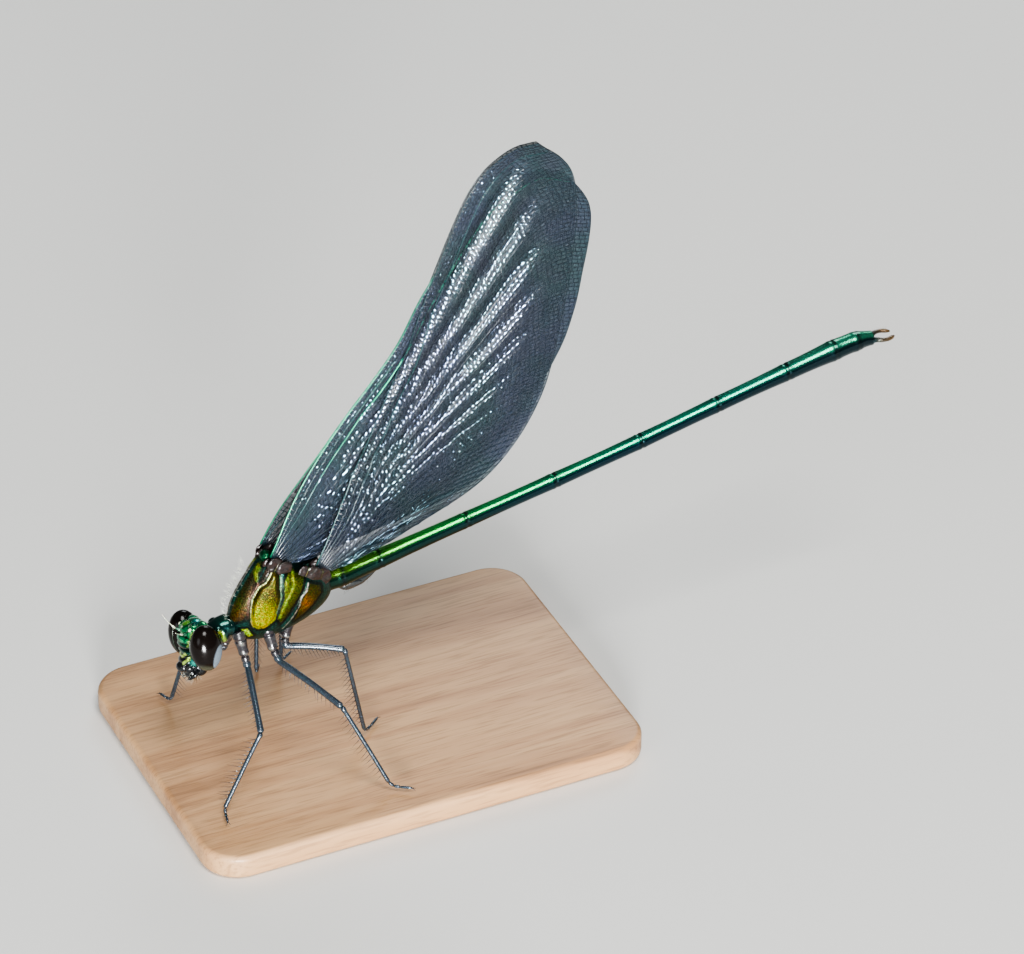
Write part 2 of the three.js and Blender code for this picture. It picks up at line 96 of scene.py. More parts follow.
camera_data = bpy.data.cameras.new("camera")
camera_data.sensor_width = SENSOR
camera_data.sensor_fit = "HORIZONTAL"
camera_data.lens = PIXELS_PER_MM * DISTANCE / PHOTO_WIDTH * SENSOR
camera = bpy.data.objects.new("camera", camera_data)
bpy.context.scene.collection.objects.link(camera)
turn = Matrix((right, up, back)).transposed().to_4x4()
camera.matrix_world = Matrix.Translation((looks_at + back * DISTANCE) * MM) @ turn
bpy.context.scene.camera = camera
print("lens in mm:", round(camera_data.lens, 1))

# %% [markdown]
# ## The studio
# A metal-green insect shows what it reflects. A broad soft lamp above gives the long highlight
# on the abdomen, and a strong one beside the animal, almost level with its wings, lights the
# domes of their cells. Two weak ones fill in from ahead and from behind, and the room itself
# stays dim, so that the flanks stay dark. The floor is plain and pale. The picture's contrast is
# set a step up, as metal colours look chalky without it.

# %% Floor, lamps and room
ROOM_COLOUR = (0.75, 0.8, 0.85, 1)
ROOM_STRENGTH = 0.24
FLOOR_REACH = 3.0


def lamp(name, towards, distance, size, watts, colour=(1, 1, 1)):
    """A round lamp facing the thorax from a distance in millimetres."""
    data = bpy.data.lights.new(name, "AREA")
    data.shape = "DISK"
    data.size = size * MM
    data.energy = watts
    data.color = colour
    lamp_object = bpy.data.objects.new(name, data)
    bpy.context.scene.collection.objects.link(lamp_object)
    way = Vector(towards).normalized()
    lamp_object.location = (THORAX_AT + way * distance) * MM
    lamp_object.rotation_euler = way.to_track_quat("Z", "Y").to_euler()
    return lamp_object


lamp("key", (0.03, -0.42, 0.91), distance=600, size=240, watts=3.2, colour=(1.0, 0.98, 0.95))
lamp("flash", (-0.33, -0.94, 0.08), distance=700, size=200, watts=19.0)
lamp("fill", (-0.9, -0.5, 0.45), distance=700, size=300, watts=0.8, colour=(0.92, 0.96, 1.0))
lamp("behind", (0.6, 0.8, 0.7), distance=700, size=300, watts=1.6, colour=(0.95, 0.98, 1.0))

world = bpy.data.worlds.new("room")
world.use_nodes = True
room = world.node_tree.nodes["Background"]
room.inputs["Color"].default_value = ROOM_COLOUR
room.inputs["Strength"].default_value = ROOM_STRENGTH
bpy.context.scene.world = world
bpy.context.scene.view_settings.look = "AgX - Medium High Contrast"

floor_mesh = bpy.data.meshes.new("floor")
bm = bmesh.new()
bmesh.ops.create_grid(bm, x_segments=2, y_segments=2, size=FLOOR_REACH)
bm.to_mesh(floor_mesh)
bm.free()
floor = bpy.data.objects.new("floor", floor_mesh)
bpy.context.scene.collection.objects.link(floor)

# %% [markdown]
# ## Finishes
# Each finish is a Principled shader with its own nodes for colour, roughness and bump. What
# comes back in many of them is built once: the fine pits of an insect's skin are a node group
# with named inputs, and the steps that every finish needs are small functions.

# %% Small helpers for materials
def new_material(name, **constants):
    """A material, its node tree and its shader, with the shader's named inputs set."""
    material = bpy.data.materials.new(name)
    material.use_nodes = True
    shader = material.node_tree.nodes["Principled BSDF"]
    for socket, value in constants.items():
        shader.inputs[socket.replace("_", " ").title().replace("Ior", "IOR")].default_value = value
    return material, material.node_tree, shader


def node(tree, kind, inputs=None, **settings):
    """A node whose inputs are either wired or set, after its settings."""
    made = tree.nodes.new(kind)
    for key, value in settings.items():
        setattr(made, key, value)
    for key, value in (inputs or {}).items():
        if isinstance(value, bpy.types.NodeSocket):
            tree.links.new(value, made.inputs[key])
        else:
            made.inputs[key].default_value = value
    return made


def ramp(tree, factor, stops):
    """A colour ramp with the given (place, colour) stops."""
    made = node(tree, "ShaderNodeValToRGB", {"Fac": factor})
    points = made.color_ramp.elements
    while len(points) < len(stops):
        points.new(0.5)
    for point, (place, colour) in zip(points, stops):
        point.position = place
        point.color = (*colour, 1)
    return made.outputs["Color"]


def object_place(tree):
    """Object coordinates, which here are places on the real animal in metres."""
    return node(tree, "ShaderNodeTexCoord").outputs["Object"]


def clouds(tree, where, scale, detail=2.0):
    """A soft noise with so many clouds to the metre."""
    return node(tree, "ShaderNodeTexNoise", {"Vector": where, "Scale": scale, "Detail": detail})


def multiplied(tree, colour, by, share):
    """A colour multiplied by another, as strongly as the share says."""
    inputs = {"Factor": share, "A": colour, "B": by}
    return node(tree, "ShaderNodeMix", inputs, data_type="RGBA", blend_type="MULTIPLY").outputs["Result"]


def ranged(tree, value, low, high):
    """A value from 0 to 1 brought to between low and high."""
    return node(tree, "ShaderNodeMapRange", {"Value": value, "To Min": low, "To Max": high}).outputs["Result"]


def wire_bump(tree, shader, height, strength, distance, **settings):
    """Wire a height to the shader as a bump, its distance in metres."""
    inputs = {"Height": height, "Strength": strength, "Distance": distance}
    bump = node(tree, "ShaderNodeBump", inputs, **settings)
    tree.links.new(bump.outputs["Normal"], shader.inputs["Normal"])


def new_group(name, inputs, outputs):
    """A node group with its sockets, and its nodes for what comes in and goes out."""
    group = bpy.data.node_groups.new(name, "ShaderNodeTree")
    for title, kind, value in inputs:
        socket = group.interface.new_socket(title, in_out="INPUT", socket_type="NodeSocket" + kind)
        if value is not None:
            socket.default_value = value
    for title, kind in outputs:
        group.interface.new_socket(title, in_out="OUTPUT", socket_type="NodeSocket" + kind)
    entry = group.nodes.new("NodeGroupInput")
    leave = group.nodes.new("NodeGroupOutput")
    return group, entry, leave


print("material helpers ready")

# %% [markdown]
# ### Pitted skin
# Under a lens the skin is full of tiny pits that break a highlight into grains. A noise and a
# cell pattern on Object coordinates give both the height for the bump and a mask for the colour.

# %% The pitted skin group
pitted, entry, leave = new_group(
    "pitted_skin",
    [("Pits per metre", "Float", 9000.0), ("Depth", "Float", 0.5)],
    [("Height", "Float"), ("Grain", "Float")],
)
where = object_place(pitted)
pits_per_metre = entry.outputs["Pits per metre"]
cells = node(pitted, "ShaderNodeTexVoronoi", {"Vector": where, "Scale": pits_per_metre})
grains = clouds(pitted, where, pits_per_metre, detail=3.0)
summed = node(
    pitted, "ShaderNodeMath", {0: cells.outputs["Distance"], 1: grains.outputs["Fac"]}, operation="ADD",
)
deep = node(
    pitted, "ShaderNodeMath", {0: summed.outputs[0], 1: entry.outputs["Depth"]}, operation="MULTIPLY",
)
pitted.links.new(deep.outputs[0], leave.inputs["Height"])
pitted.links.new(grains.outputs["Fac"], leave.inputs["Grain"])
print("group:", pitted.name)

PIT_DEPTH = 1.0
PIT_BUMP = 0.00002


def skin_bump(tree, shader, pits, strength):
    """Place the pitted skin group, wire its height to a bump, and give back its grain."""
    skin = node(tree, "ShaderNodeGroup", node_tree=pitted)
    skin.inputs["Pits per metre"].default_value = pits
    skin.inputs["Depth"].default_value = PIT_DEPTH
    wire_bump(tree, shader, skin.outputs["Height"], strength, PIT_BUMP)
    return skin.outputs["Grain"]

# %% [markdown]
# ### Painted plates
# The thorax is a puzzle of plates, each with its own metal tint, and the abdomen and legs change
# along their length. Those tints are laid on the vertices as a colour attribute when the piece is
# made. The shader breaks them up with the grain of the pits. The attribute's alpha says how
# metallic a place is, so that cream seams and grey membranes stay dull beside the metal.

# %% The painted skin finish
HUE_DRIFT = [(0.36, (1.2, 0.9, 0.6)), (0.5, (1, 1, 1)), (0.62, (0.65, 1.15, 0.8))]
PIT_SHADES = [(0.38, (0.12, 0.1, 0.08)), (0.62, (1.5, 1.5, 1.35))]
PATCHES_PER_PIT = 0.45
COAT_ROUGHNESS = 0.12


def painted_skin(name, pits, bump, rough, grain, coat=0.3, gloss=0.5):
    """Skin in the colours of its tint attribute, broken up by the grain of so many pits a metre."""
    material, tree, shader = new_material(
        name, coat_weight=coat, coat_roughness=COAT_ROUGHNESS, specular_ior_level=gloss,
    )
    tint = node(tree, "ShaderNodeAttribute", attribute_name="tint")
    speckle = skin_bump(tree, shader, pits, bump)
    drift = clouds(tree, object_place(tree), pits * PATCHES_PER_PIT)
    drifted = multiplied(tree, tint.outputs["Color"], ramp(tree, drift.outputs["Fac"], HUE_DRIFT), grain)
    speckled = multiplied(tree, drifted, ramp(tree, speckle, PIT_SHADES), grain)
    tree.links.new(speckled, shader.inputs["Base Color"])
    tree.links.new(tint.outputs["Alpha"], shader.inputs["Metallic"])
    tree.links.new(ranged(tree, speckle, *rough), shader.inputs["Roughness"])
    return material


thorax_skin = painted_skin("thorax_skin", 9000, 0.7, rough=(0.45, 0.28), grain=0.75, coat=0.08)
body_skin = painted_skin("body_skin", 12000, 0.3, rough=(0.3, 0.17), grain=0.35)
head_metal = painted_skin("head_metal", 9000, 0.15, rough=(0.3, 0.16), grain=0.25)
leg_skin = painted_skin("leg_skin", 14000, 0.3, rough=(0.34, 0.18), grain=0.45, coat=0.5)
hinge_skin = painted_skin("hinge_skin", 5000, 0.3, rough=(0.38, 0.22), grain=0.6, coat=0.1, gloss=0.35)
skins = [thorax_skin, body_skin, head_metal, leg_skin, hinge_skin]
print("painted finishes:", [skin.name for skin in skins])

# %% [markdown]
# ### Eyes, wings and wood
# A compound eye is a dark glossy ball under thousands of tiny lenses, with a pale crescent low
# behind. A wing's membrane is smoky and clear at once, so it's a thin gloss with a low alpha,
# and its veins go from emerald along the leading edge to nearly black behind. The base is a
# plain oiled wood, with rings drawn out along its length.

# %% The eye finish
LENSES_PER_METRE = 22000.0
LENS_SHADES = [(0.2, (1, 1, 1)), (0.8, (0.3, 0.25, 0.25))]
LENS_BUMP = 0.00001


def eye_finish():
    """Glossy and nearly black, mottled and dimpled by the small lenses."""
    material, tree, shader = new_material("compound_eye", roughness=0.15, specular_ior_level=0.2)
    tint = node(tree, "ShaderNodeAttribute", attribute_name="tint")
    lenses = node(tree, "ShaderNodeTexVoronoi", {"Vector": object_place(tree), "Scale": LENSES_PER_METRE})
    facets = lenses.outputs["Distance"]
    mottled = multiplied(tree, tint.outputs["Color"], ramp(tree, facets, LENS_SHADES), 0.35)
    tree.links.new(mottled, shader.inputs["Base Color"])
    wire_bump(tree, shader, facets, 0.12, LENS_BUMP, invert=True)
    return material


# %% The wing finishes
SMOKE_TINTS = [
    (0.3, (0.09, 0.11, 0.16)),
    (0.45, (0.075, 0.1, 0.16)),
    (0.58, (0.06, 0.115, 0.135)),
    (0.7, (0.095, 0.1, 0.165)),
]
SMOKE_ALPHA = (0.27, 0.33)
LONE_ALPHA = 0.28
VEIN_TINTS = [(0.0, (0.004, 0.007, 0.012)), (0.3, (0.006, 0.045, 0.045)), (1.0, (0.015, 0.34, 0.17))]
VEIN_WEAR = [(0.3, (0.5, 0.5, 0.5)), (0.7, (1.2, 1.2, 1.2))]


def membrane_finish():
    """Thin smoky gloss, denser where no other pair of wings lies behind it."""
    material, tree, shader = new_material("wing_membrane", roughness=0.07, metallic=0.9)
    smoke = clouds(tree, object_place(tree), 140.0, detail=3.0).outputs["Fac"]
    tree.links.new(ramp(tree, smoke, SMOKE_TINTS), shader.inputs["Base Color"])
    lone = node(tree, "ShaderNodeAttribute", attribute_name="lone").outputs["Fac"]
    inputs = {0: lone, 1: LONE_ALPHA, 2: ranged(tree, smoke, *SMOKE_ALPHA)}
    dense = node(tree, "ShaderNodeMath", inputs, operation="MULTIPLY_ADD")
    tree.links.new(dense.outputs[0], shader.inputs["Alpha"])
    return material


def vein_finish():
    """Nearly black, and metal green where the green attribute says so."""
    material, tree, shader = new_material("wing_veins", coat_weight=0.3)
    green = node(tree, "ShaderNodeAttribute", attribute_name="green").outputs["Fac"]
    worn = clouds(tree, object_place(tree), 2500.0).outputs["Fac"]
    mixed = multiplied(tree, ramp(tree, green, VEIN_TINTS), ramp(tree, worn, VEIN_WEAR), 0.4)
    tree.links.new(mixed, shader.inputs["Base Color"])
    tree.links.new(ranged(tree, worn, 0.2, 0.4), shader.inputs["Roughness"])
    tree.links.new(ranged(tree, green, 0.3, 0.9), shader.inputs["Metallic"])
    return material


# %% The hair, wood and floor finishes
RING_TINTS = [
    (0.25, (0.2, 0.095, 0.04)),
    (0.45, (0.36, 0.2, 0.095)),
    (0.6, (0.43, 0.26, 0.13)),
    (0.8, (0.3, 0.16, 0.07)),
]
PORE_SHADES = [(0.35, (0.35, 0.3, 0.25)), (0.5, (1, 1, 1))]
PORE_BUMP = 0.00005


def mottled_finish(name, roughness, scale, dark, light):
    """A plain finish that drifts between two colours."""
    material, tree, shader = new_material(name, roughness=roughness)
    mottle = clouds(tree, object_place(tree), scale).outputs["Fac"]
    tree.links.new(ramp(tree, mottle, [(0.3, dark), (0.7, light)]), shader.inputs["Base Color"])
    return material


def wood_finish():
    """Oiled wood, its rings drawn out along the base."""
    material, tree, shader = new_material("oiled_wood", coat_weight=0.15, coat_roughness=0.3)
    stretch = {"Vector": object_place(tree), "Scale": (14.0, 260.0, 160.0), "Rotation": (0.12, 0.05, 0.03)}
    drawn = node(tree, "ShaderNodeMapping", stretch).outputs["Vector"]
    rings = clouds(tree, drawn, 1.6, detail=6.0)
    rings.inputs["Distortion"].default_value = 0.8
    pores = clouds(tree, drawn, 22.0).outputs["Fac"]
    grain = ramp(tree, rings.outputs["Fac"], RING_TINTS)
    tree.links.new(multiplied(tree, grain, ramp(tree, pores, PORE_SHADES), 0.35), shader.inputs["Base Color"])
    tree.links.new(ranged(tree, pores, 0.6, 0.4), shader.inputs["Roughness"])
    wire_bump(tree, shader, pores, 0.25, PORE_BUMP)
    return material


eye_gloss = eye_finish()
membrane = membrane_finish()
veins_metal = vein_finish()
hair = mottled_finish("hair", 0.4, 3000.0, dark=(0.35, 0.36, 0.3), light=(0.75, 0.76, 0.66))
wood = wood_finish()
stone = mottled_finish("floor", 0.7, 8.0, dark=(0.62, 0.62, 0.6), light=(0.66, 0.66, 0.64))
floor_mesh.materials.append(stone)
print("finishes:", [m.name for m in bpy.data.materials if m.users])

# %% [markdown]
# ## Tools of the bench
# Nearly every part of an insect is a tube that swells and narrows, a rounded lump or a fine
# spine. So the bench needs three tools: one sweeps a ring through places, one shapes a ball, and
# one plants many small spines. All of them use bmesh operators on a mesh of their own, and a
# finished part is then added to the piece that it belongs to.

# %% A smooth line through a few places
def smooth_line(places, count=60):
    """A smooth line through a few places, sampled evenly along its length."""
    known = np.array(places, float)
    known = np.vstack([2 * known[0] - known[1], known, 2 * known[-1] - known[-2]])
    step = np.linspace(0, 1, 24, endpoint=False)[:, None]
    parts = []
    for a, b, c, d in zip(known, known[1:], known[2:], known[3:]):
        turning = step * (3 * b - a - 3 * c + d)
        parts.append(b + 0.5 * step * (c - a + step * (2 * a - 5 * b + 4 * c - d + turning)))
    line = np.vstack([*parts, known[-2]])
    reach = np.concatenate([[0], np.cumsum(np.linalg.norm(np.diff(line, axis=0), axis=1))])
    even = np.linspace(0, reach[-1], count)
    return np.column_stack([np.interp(even, reach, line[:, axis]) for axis in range(line.shape[1])])


# %% Sweep a ring through places
def ring_frame(place, along, radius, flat=1.0):
    """The matrix that lays a ring of radius 1 across a line at a place."""
    aside = Vector((1, 0, 0)) if abs(along.y) > 0.9 else Vector((0, 1, 0))
    first = aside.cross(along).normalized()
    second = along.cross(first)
    turned = Matrix((first * radius, second * radius * flat, along)).transposed().to_4x4()
    return Matrix.Translation(place) @ turned


def tube(places, radii, sides=12, flat=1.0):
    """A closed round tube through the places, with one radius at each."""
    places = [Vector(p) for p in places]
    part = bmesh.new()
    frames = []
    for i, place in enumerate(places):
        along = places[min(i + 1, len(places) - 1)] - places[max(i - 1, 0)]
        frames.append(ring_frame(place, along.normalized(), radii[i], flat))
    bmesh.ops.create_circle(part, segments=sides, radius=1.0, cap_ends=True, matrix=frames[0])
    edges = part.edges[:]
    for before, after in zip(frames, frames[1:]):
        made = bmesh.ops.extrude_edge_only(part, edges=edges)["geom"]
        edges = [g for g in made if isinstance(g, bmesh.types.BMEdge) and g.is_boundary]
        ring = list({v for e in edges for v in e.verts})
        bmesh.ops.transform(part, matrix=after @ before.inverted(), verts=ring)
    bmesh.ops.contextual_create(part, geom=edges)
    bmesh.ops.recalc_face_normals(part, faces=part.faces)
    return part


def swept(places, count, shares, radii, sides, flat=1.0):
    """A tube along a smooth line of so many steps, its radii given at shares of its length."""
    steps = np.linspace(0, 1, count)
    return tube(smooth_line(places, count), np.interp(steps, shares, radii), sides, flat)


# %% Shape a ball, and add one part to another
def ball(at, half, across=24, down=16):
    """A ball with its own half size on each axis."""
    part = bmesh.new()
    place = Matrix.Translation(at) @ Matrix.Diagonal((*half, 1))
    bmesh.ops.create_uvsphere(part, u_segments=across, v_segments=down, radius=1.0, matrix=place)
    return part


def add(whole, part, matrix=None):
    """Add a part to a piece, and free the part."""
    if matrix is not None:
        bmesh.ops.transform(part, matrix=matrix, verts=part.verts)
    carrier = bpy.data.meshes.new("carrier")
    part.to_mesh(carrier)
    part.free()
    whole.from_mesh(carrier)
    bpy.data.meshes.remove(carrier)
    return whole


# %% Melt overlapping parts into one skin
def fuse(bm, grain, passes=8):
    """One skin round all parts of a piece, as fine as the grain in mm, with its creases softened."""
    parts = bpy.data.meshes.new("parts")
    bm.to_mesh(parts)
    bm.free()
    lump = bpy.data.objects.new("lump", parts)
    bpy.context.scene.collection.objects.link(lump)
    melt = lump.modifiers.new("melt", "REMESH")
    melt.mode = "VOXEL"
    melt.voxel_size = grain
    soften = lump.modifiers.new("soften", "SMOOTH")
    soften.iterations = passes
    soften.factor = 0.5
    skin = bpy.data.meshes.new_from_object(lump.evaluated_get(bpy.context.evaluated_depsgraph_get()))
    melted = bmesh.new()
    melted.from_mesh(skin)
    bpy.data.objects.remove(lump)
    for mesh in (parts, skin):
        bpy.data.meshes.remove(mesh)
    return melted


# %% Plant a spine
SPINE_TIP = 0.08


def spine(start, way, length, radius, sides=5, bend=0.12):
    """A fine spine from a place on a surface, bent a little towards +Z of its own frame."""
    part = bmesh.new()
    bmesh.ops.create_cone(
        part, cap_ends=True, segments=sides, radius1=radius, radius2=radius * SPINE_TIP, depth=1.0,
    )
    bmesh.ops.translate(part, vec=(0, 0, 0.5), verts=part.verts)
    lengthwise = [e for e in part.edges if abs(e.verts[0].co.z - e.verts[1].co.z) > 0.5]
    bmesh.ops.subdivide_edges(part, edges=lengthwise, cuts=2)
    for v in part.verts:
        v.co.x += bend * v.co.z**2
        v.co.z *= length
    turned = Vector(way).to_track_quat("Z", "X").to_matrix().to_4x4()
    bmesh.ops.transform(part, matrix=Matrix.Translation(start) @ turned, verts=part.verts)
    return part


# %% Turn a finished bmesh into a piece of the model
def finish_piece(name, bm, materials, stands_for=()):
    """Take a piece from millimetres to metres, dress it, hang it on the root, and hide the nodes it stands
    for.
    """
    bmesh.ops.transform(bm, matrix=TO_WORLD, verts=bm.verts)
    mesh = bpy.data.meshes.new(name)
    bm.to_mesh(mesh)
    bm.free()
    mesh.shade_smooth()
    for material in materials:
        mesh.materials.append(material)
    piece = bpy.data.objects.new(name, mesh)
    bpy.context.scene.collection.objects.link(piece)
    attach(piece, "root")
    if stands_for:
        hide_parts(*stands_for)
    print(name, len(mesh.vertices), "vertices,", len(mesh.polygons), "faces")
    return piece


def paint(piece, tint_at):
    """Lay a colour attribute on a piece from a function of its places in millimetres."""
    mesh = piece.data
    flat = np.empty(len(mesh.vertices) * 3)
    mesh.vertices.foreach_get("co", flat)
    places = flat.reshape(-1, 3) / MM - np.array(THORAX_AT)
    tints = mesh.attributes.new("tint", "FLOAT_COLOR", "POINT")
    tints.data.foreach_set("color", np.clip(tint_at(places), 0, 1).astype(np.float32).ravel())

# %% [markdown]
# ## The abdomen
# The abdomen is ten tubes on one rising line, each a little waisted, with a dark ring where one
# slides into the next. It's a single sweep whose radius is worked out at each step, so no seam
# shows. Its metal drifts from yellow green at the root through emerald and turquoise to mint.
# A band along the top is brightened as a painted highlight, and the flanks are darkened as
# painted shade.

# %% Sweep the abdomen
ABDOMEN_JOINTS = [
    (3.3, 0.7), (4.9, 0.8), (8.0, 1.35), (15.2, 2.75), (22.6, 4.2), (29.8, 5.7),
    (36.3, 7.2), (42.2, 8.5), (46.2, 9.35), (48.2, 9.65), (49.5, 9.6),
]
ABDOMEN_RADII = [0.95, 0.92, 0.78, 0.64, 0.62, 0.62, 0.64, 0.72, 0.86, 0.82, 0.58]
ABDOMEN_WAIST = 0.07
RING_DEPTH = 0.035
RING_HALF = 0.1
LIP_HEIGHT = 0.018
ABDOMEN_METAL = 0.92

joints = np.array([(x, 0, z) for x, z in ABDOMEN_JOINTS])
joint_reach = np.concatenate([[0], np.cumsum(np.linalg.norm(np.diff(joints, axis=0), axis=1))])


def abdomen_radius(reach):
    """The radius at a distance along the abdomen: a waist in each segment, a groove at each joint."""
    base = np.interp(reach, joint_reach, ABDOMEN_RADII)
    share = np.interp(reach, joint_reach, np.arange(len(joint_reach)))
    waist = 1 - ABDOMEN_WAIST * np.sin(np.pi * (share % 1)) ** 0.6
    near = np.min(np.abs(reach - joint_reach[1:-1]))
    groove = RING_DEPTH * math.exp(-((near / RING_HALF) ** 2))
    lip = LIP_HEIGHT * math.exp(-(((near - 2.2 * RING_HALF) / RING_HALF) ** 2))
    return base * waist - groove + lip


STEPS = 420
line = smooth_line(joints, STEPS)
reaches = np.linspace(0, joint_reach[-1], STEPS)
abdomen_bm = tube(line, [abdomen_radius(r) for r in reaches], sides=40)
abdomen = finish_piece("abdomen_skin", abdomen_bm, [body_skin],
                       ["abdomen_" + str(i + 1) for i in range(10)])


# %% Tint the abdomen
ALONG = [3.5, 6.0, 12.0, 20.0, 30.0, 38.0, 49.5]
# The metal's green along its length, brightened along the top as a painted highlight band and darkened on the
# flanks as painted shade.
HIGHLIGHT_BAND_TINTS = np.array([
    (0.2, 0.38, 0.04), (0.13, 0.38, 0.04), (0.04, 0.36, 0.07), (0.025, 0.34, 0.13),
    (0.02, 0.32, 0.2), (0.03, 0.34, 0.24), (0.05, 0.3, 0.19),
])
SHADED_FLANK_TINTS = np.array([
    (0.004, 0.03, 0.02), (0.003, 0.03, 0.024), (0.002, 0.028, 0.028), (0.002, 0.024, 0.034),
    (0.002, 0.022, 0.038), (0.003, 0.022, 0.034), (0.005, 0.02, 0.028),
])
JOINT_TINT = np.array((0.006, 0.016, 0.02))


def blend_tints(stops, tints, at):
    """The colour at each place between the stops."""
    return np.column_stack([np.interp(at, stops, tints[:, k]) for k in range(3)])


def soft_step(value, low, high):
    """0 below low and 1 above high, with a soft rise between."""
    t = np.clip((value - low) / (high - low), 0, 1)
    return t * t * (3 - 2 * t)


def abdomen_tint(places):
    """A painted highlight band along the top, painted shade on the flanks, and dark joints."""
    x, y, z = places.T
    middle = np.interp(x, line[:, 0], line[:, 2])
    high = (z - middle) / np.interp(x, joints[:, 0], ABDOMEN_RADII)
    # Painted light: the top band is a painted highlight, dimmed at the very top as painted shade, and the
    # flanks are painted shade.
    top = (soft_step(high, 0.5, 0.72) * (1 - 0.6 * soft_step(high, 0.93, 1.0)))[:, None]
    tint = blend_tints(ALONG, SHADED_FLANK_TINTS, x) * (1 - top) + blend_tints(ALONG, HIGHLIGHT_BAND_TINTS, x) * top
    near = np.min(np.abs(x[:, None] - joints[None, 1:-1, 0]), axis=1)
    ring = np.exp(-((near / (1.6 * RING_HALF)) ** 2))[:, None]
    tint = tint * (1 - 0.9 * ring) + JOINT_TINT * 0.9 * ring
    return np.column_stack([tint, np.full(len(x), ABDOMEN_METAL)])


paint(abdomen, abdomen_tint)
print("abdomen length in mm:", round(float(joint_reach[-1]), 1))

# %% [markdown]
# ## The claspers and the organ below
# The male's tail ends in two curved claspers with a gap between them, dark with brown tips.
# Under the second segment sits a small dark lobe. All three are swept tubes with a few bristles.

# %% Claspers and lobe
TAIL_END = Vector((49.5, 0, 9.6))
CLASPER_SHARES = np.linspace(0, 1, 9)
CLASPER_RADII = [0.2, 0.23, 0.21, 0.18, 0.16, 0.15, 0.16, 0.15, 0.07]
CLASPER_SPAN = [49.5, 51.3]
CLASPER_TINTS = [(0.01, 0.16), (0.03, 0.09), (0.035, 0.04)]
CLASPER_METAL = 0.6


def clasper_tint(places):
    """Dark at the root and brown at the tip, worked out for each colour channel."""
    channels = [np.interp(places[:, 0], CLASPER_SPAN, ends) for ends in CLASPER_TINTS]
    return np.column_stack([*channels, np.full(len(places), CLASPER_METAL)])


for name, side in SIDES.items():
    bow = []
    for share in CLASPER_SHARES:
        aside = 0.28 + 0.36 * math.sin(math.pi * share * 0.95)
        bow.append(TAIL_END + Vector((0.05 + 1.75 * share, side * aside, -0.1 * share)))
    bow[0] -= Vector((0.35, 0, 0))
    clasper = swept(bow, 25, CLASPER_SHARES, CLASPER_RADII, sides=14, flat=1.15)
    for i in range(8):
        place = bow[2].lerp(bow[7], i / 7) + Vector((0, side * 0.14, 0.08))
        add(clasper, spine(place, (0.5, side, 0.4), 0.25, 0.012))
    made = finish_piece("clasper_" + name, clasper, [body_skin], ["cercus_" + name])
    paint(made, clasper_tint)

LOBE_LINE = [(4.8, 0, -0.12), (5.3, 0, -0.28), (6.1, 0, -0.18), (7.1, 0, 0.12), (7.8, 0, 0.45)]
LOBE_BRISTLES = 14
lobe = swept(LOBE_LINE, 18, [0, 0.2, 0.6, 1], [0.2, 0.42, 0.4, 0.12], sides=18, flat=0.8)
for side in SIDES.values():
    flap = ball((5.9, side * 0.3, -0.12), (0.75, 0.12, 0.3), 18, 12)
    add(lobe, flap)
for i in range(LOBE_BRISTLES):
    start = (5.2 + 0.17 * i, RANDOM.uniform(-0.2, 0.2), -0.72 + 0.045 * i)
    add(lobe, spine(start, (-0.2, RANDOM.uniform(-0.4, 0.4), -1), RANDOM.uniform(0.2, 0.4), 0.012))
made = finish_piece("secondary_lobe", lobe, [leg_skin], ["genitalia"])
paint(made, lambda p: np.tile((0.012, 0.014, 0.016, 0.0), (len(p), 1)))

# %% [markdown]
# ## The thorax
# Seen from the side the thorax leans back, and its wings sit high and far behind. A ball is
# drawn out to level sections measured on the photo, then its plates are raised and the seams
# between them sunk in. The same outlines give the tints: bronze in front, a gold lobe in the
# middle with a cream seam before it, a green stripe, a white seam and gold again behind.
# The gold lobe has painted shade at its top and a painted highlight at its bottom, the lime
# streak on the plate behind it is a painted highlight, and the front plate darkens towards the
# brown band as painted shade.

# %% Shape the thorax
# Each section: its height, its front and rear ends along the animal, and its half width.
THORAX_SECTIONS = np.array([
    (-2.6, -3.0, -0.4, 0.7), (-2.0, -3.9, 1.3, 1.25), (-1.0, -4.25, 3.3, 1.65), (0.0, -4.2, 4.1, 1.85),
    (1.0, -3.85, 4.05, 1.9), (2.0, -3.25, 3.8, 1.85), (2.9, -2.65, 2.3, 1.65), (3.7, -2.15, 0.7, 1.35),
    (4.3, -1.7, -0.2, 0.85),
])
THORAX_NARROWING = 0.2
THORAX_SQUARENESS = 0.85
THORAX_OVERRUN = 0.12
END_ROUND = 0.55


def section_at(z):
    """Front, rear and half width at a height."""
    return [np.interp(z, THORAX_SECTIONS[:, 0], THORAX_SECTIONS[:, k]) for k in (1, 2, 3)]


def smooth_section(z):
    """Sections averaged over a small height, so that no ring shows as an edge."""
    spread = np.linspace(-0.5, 0.5, 9)
    return np.mean([section_at(z + s) for s in spread], axis=0)


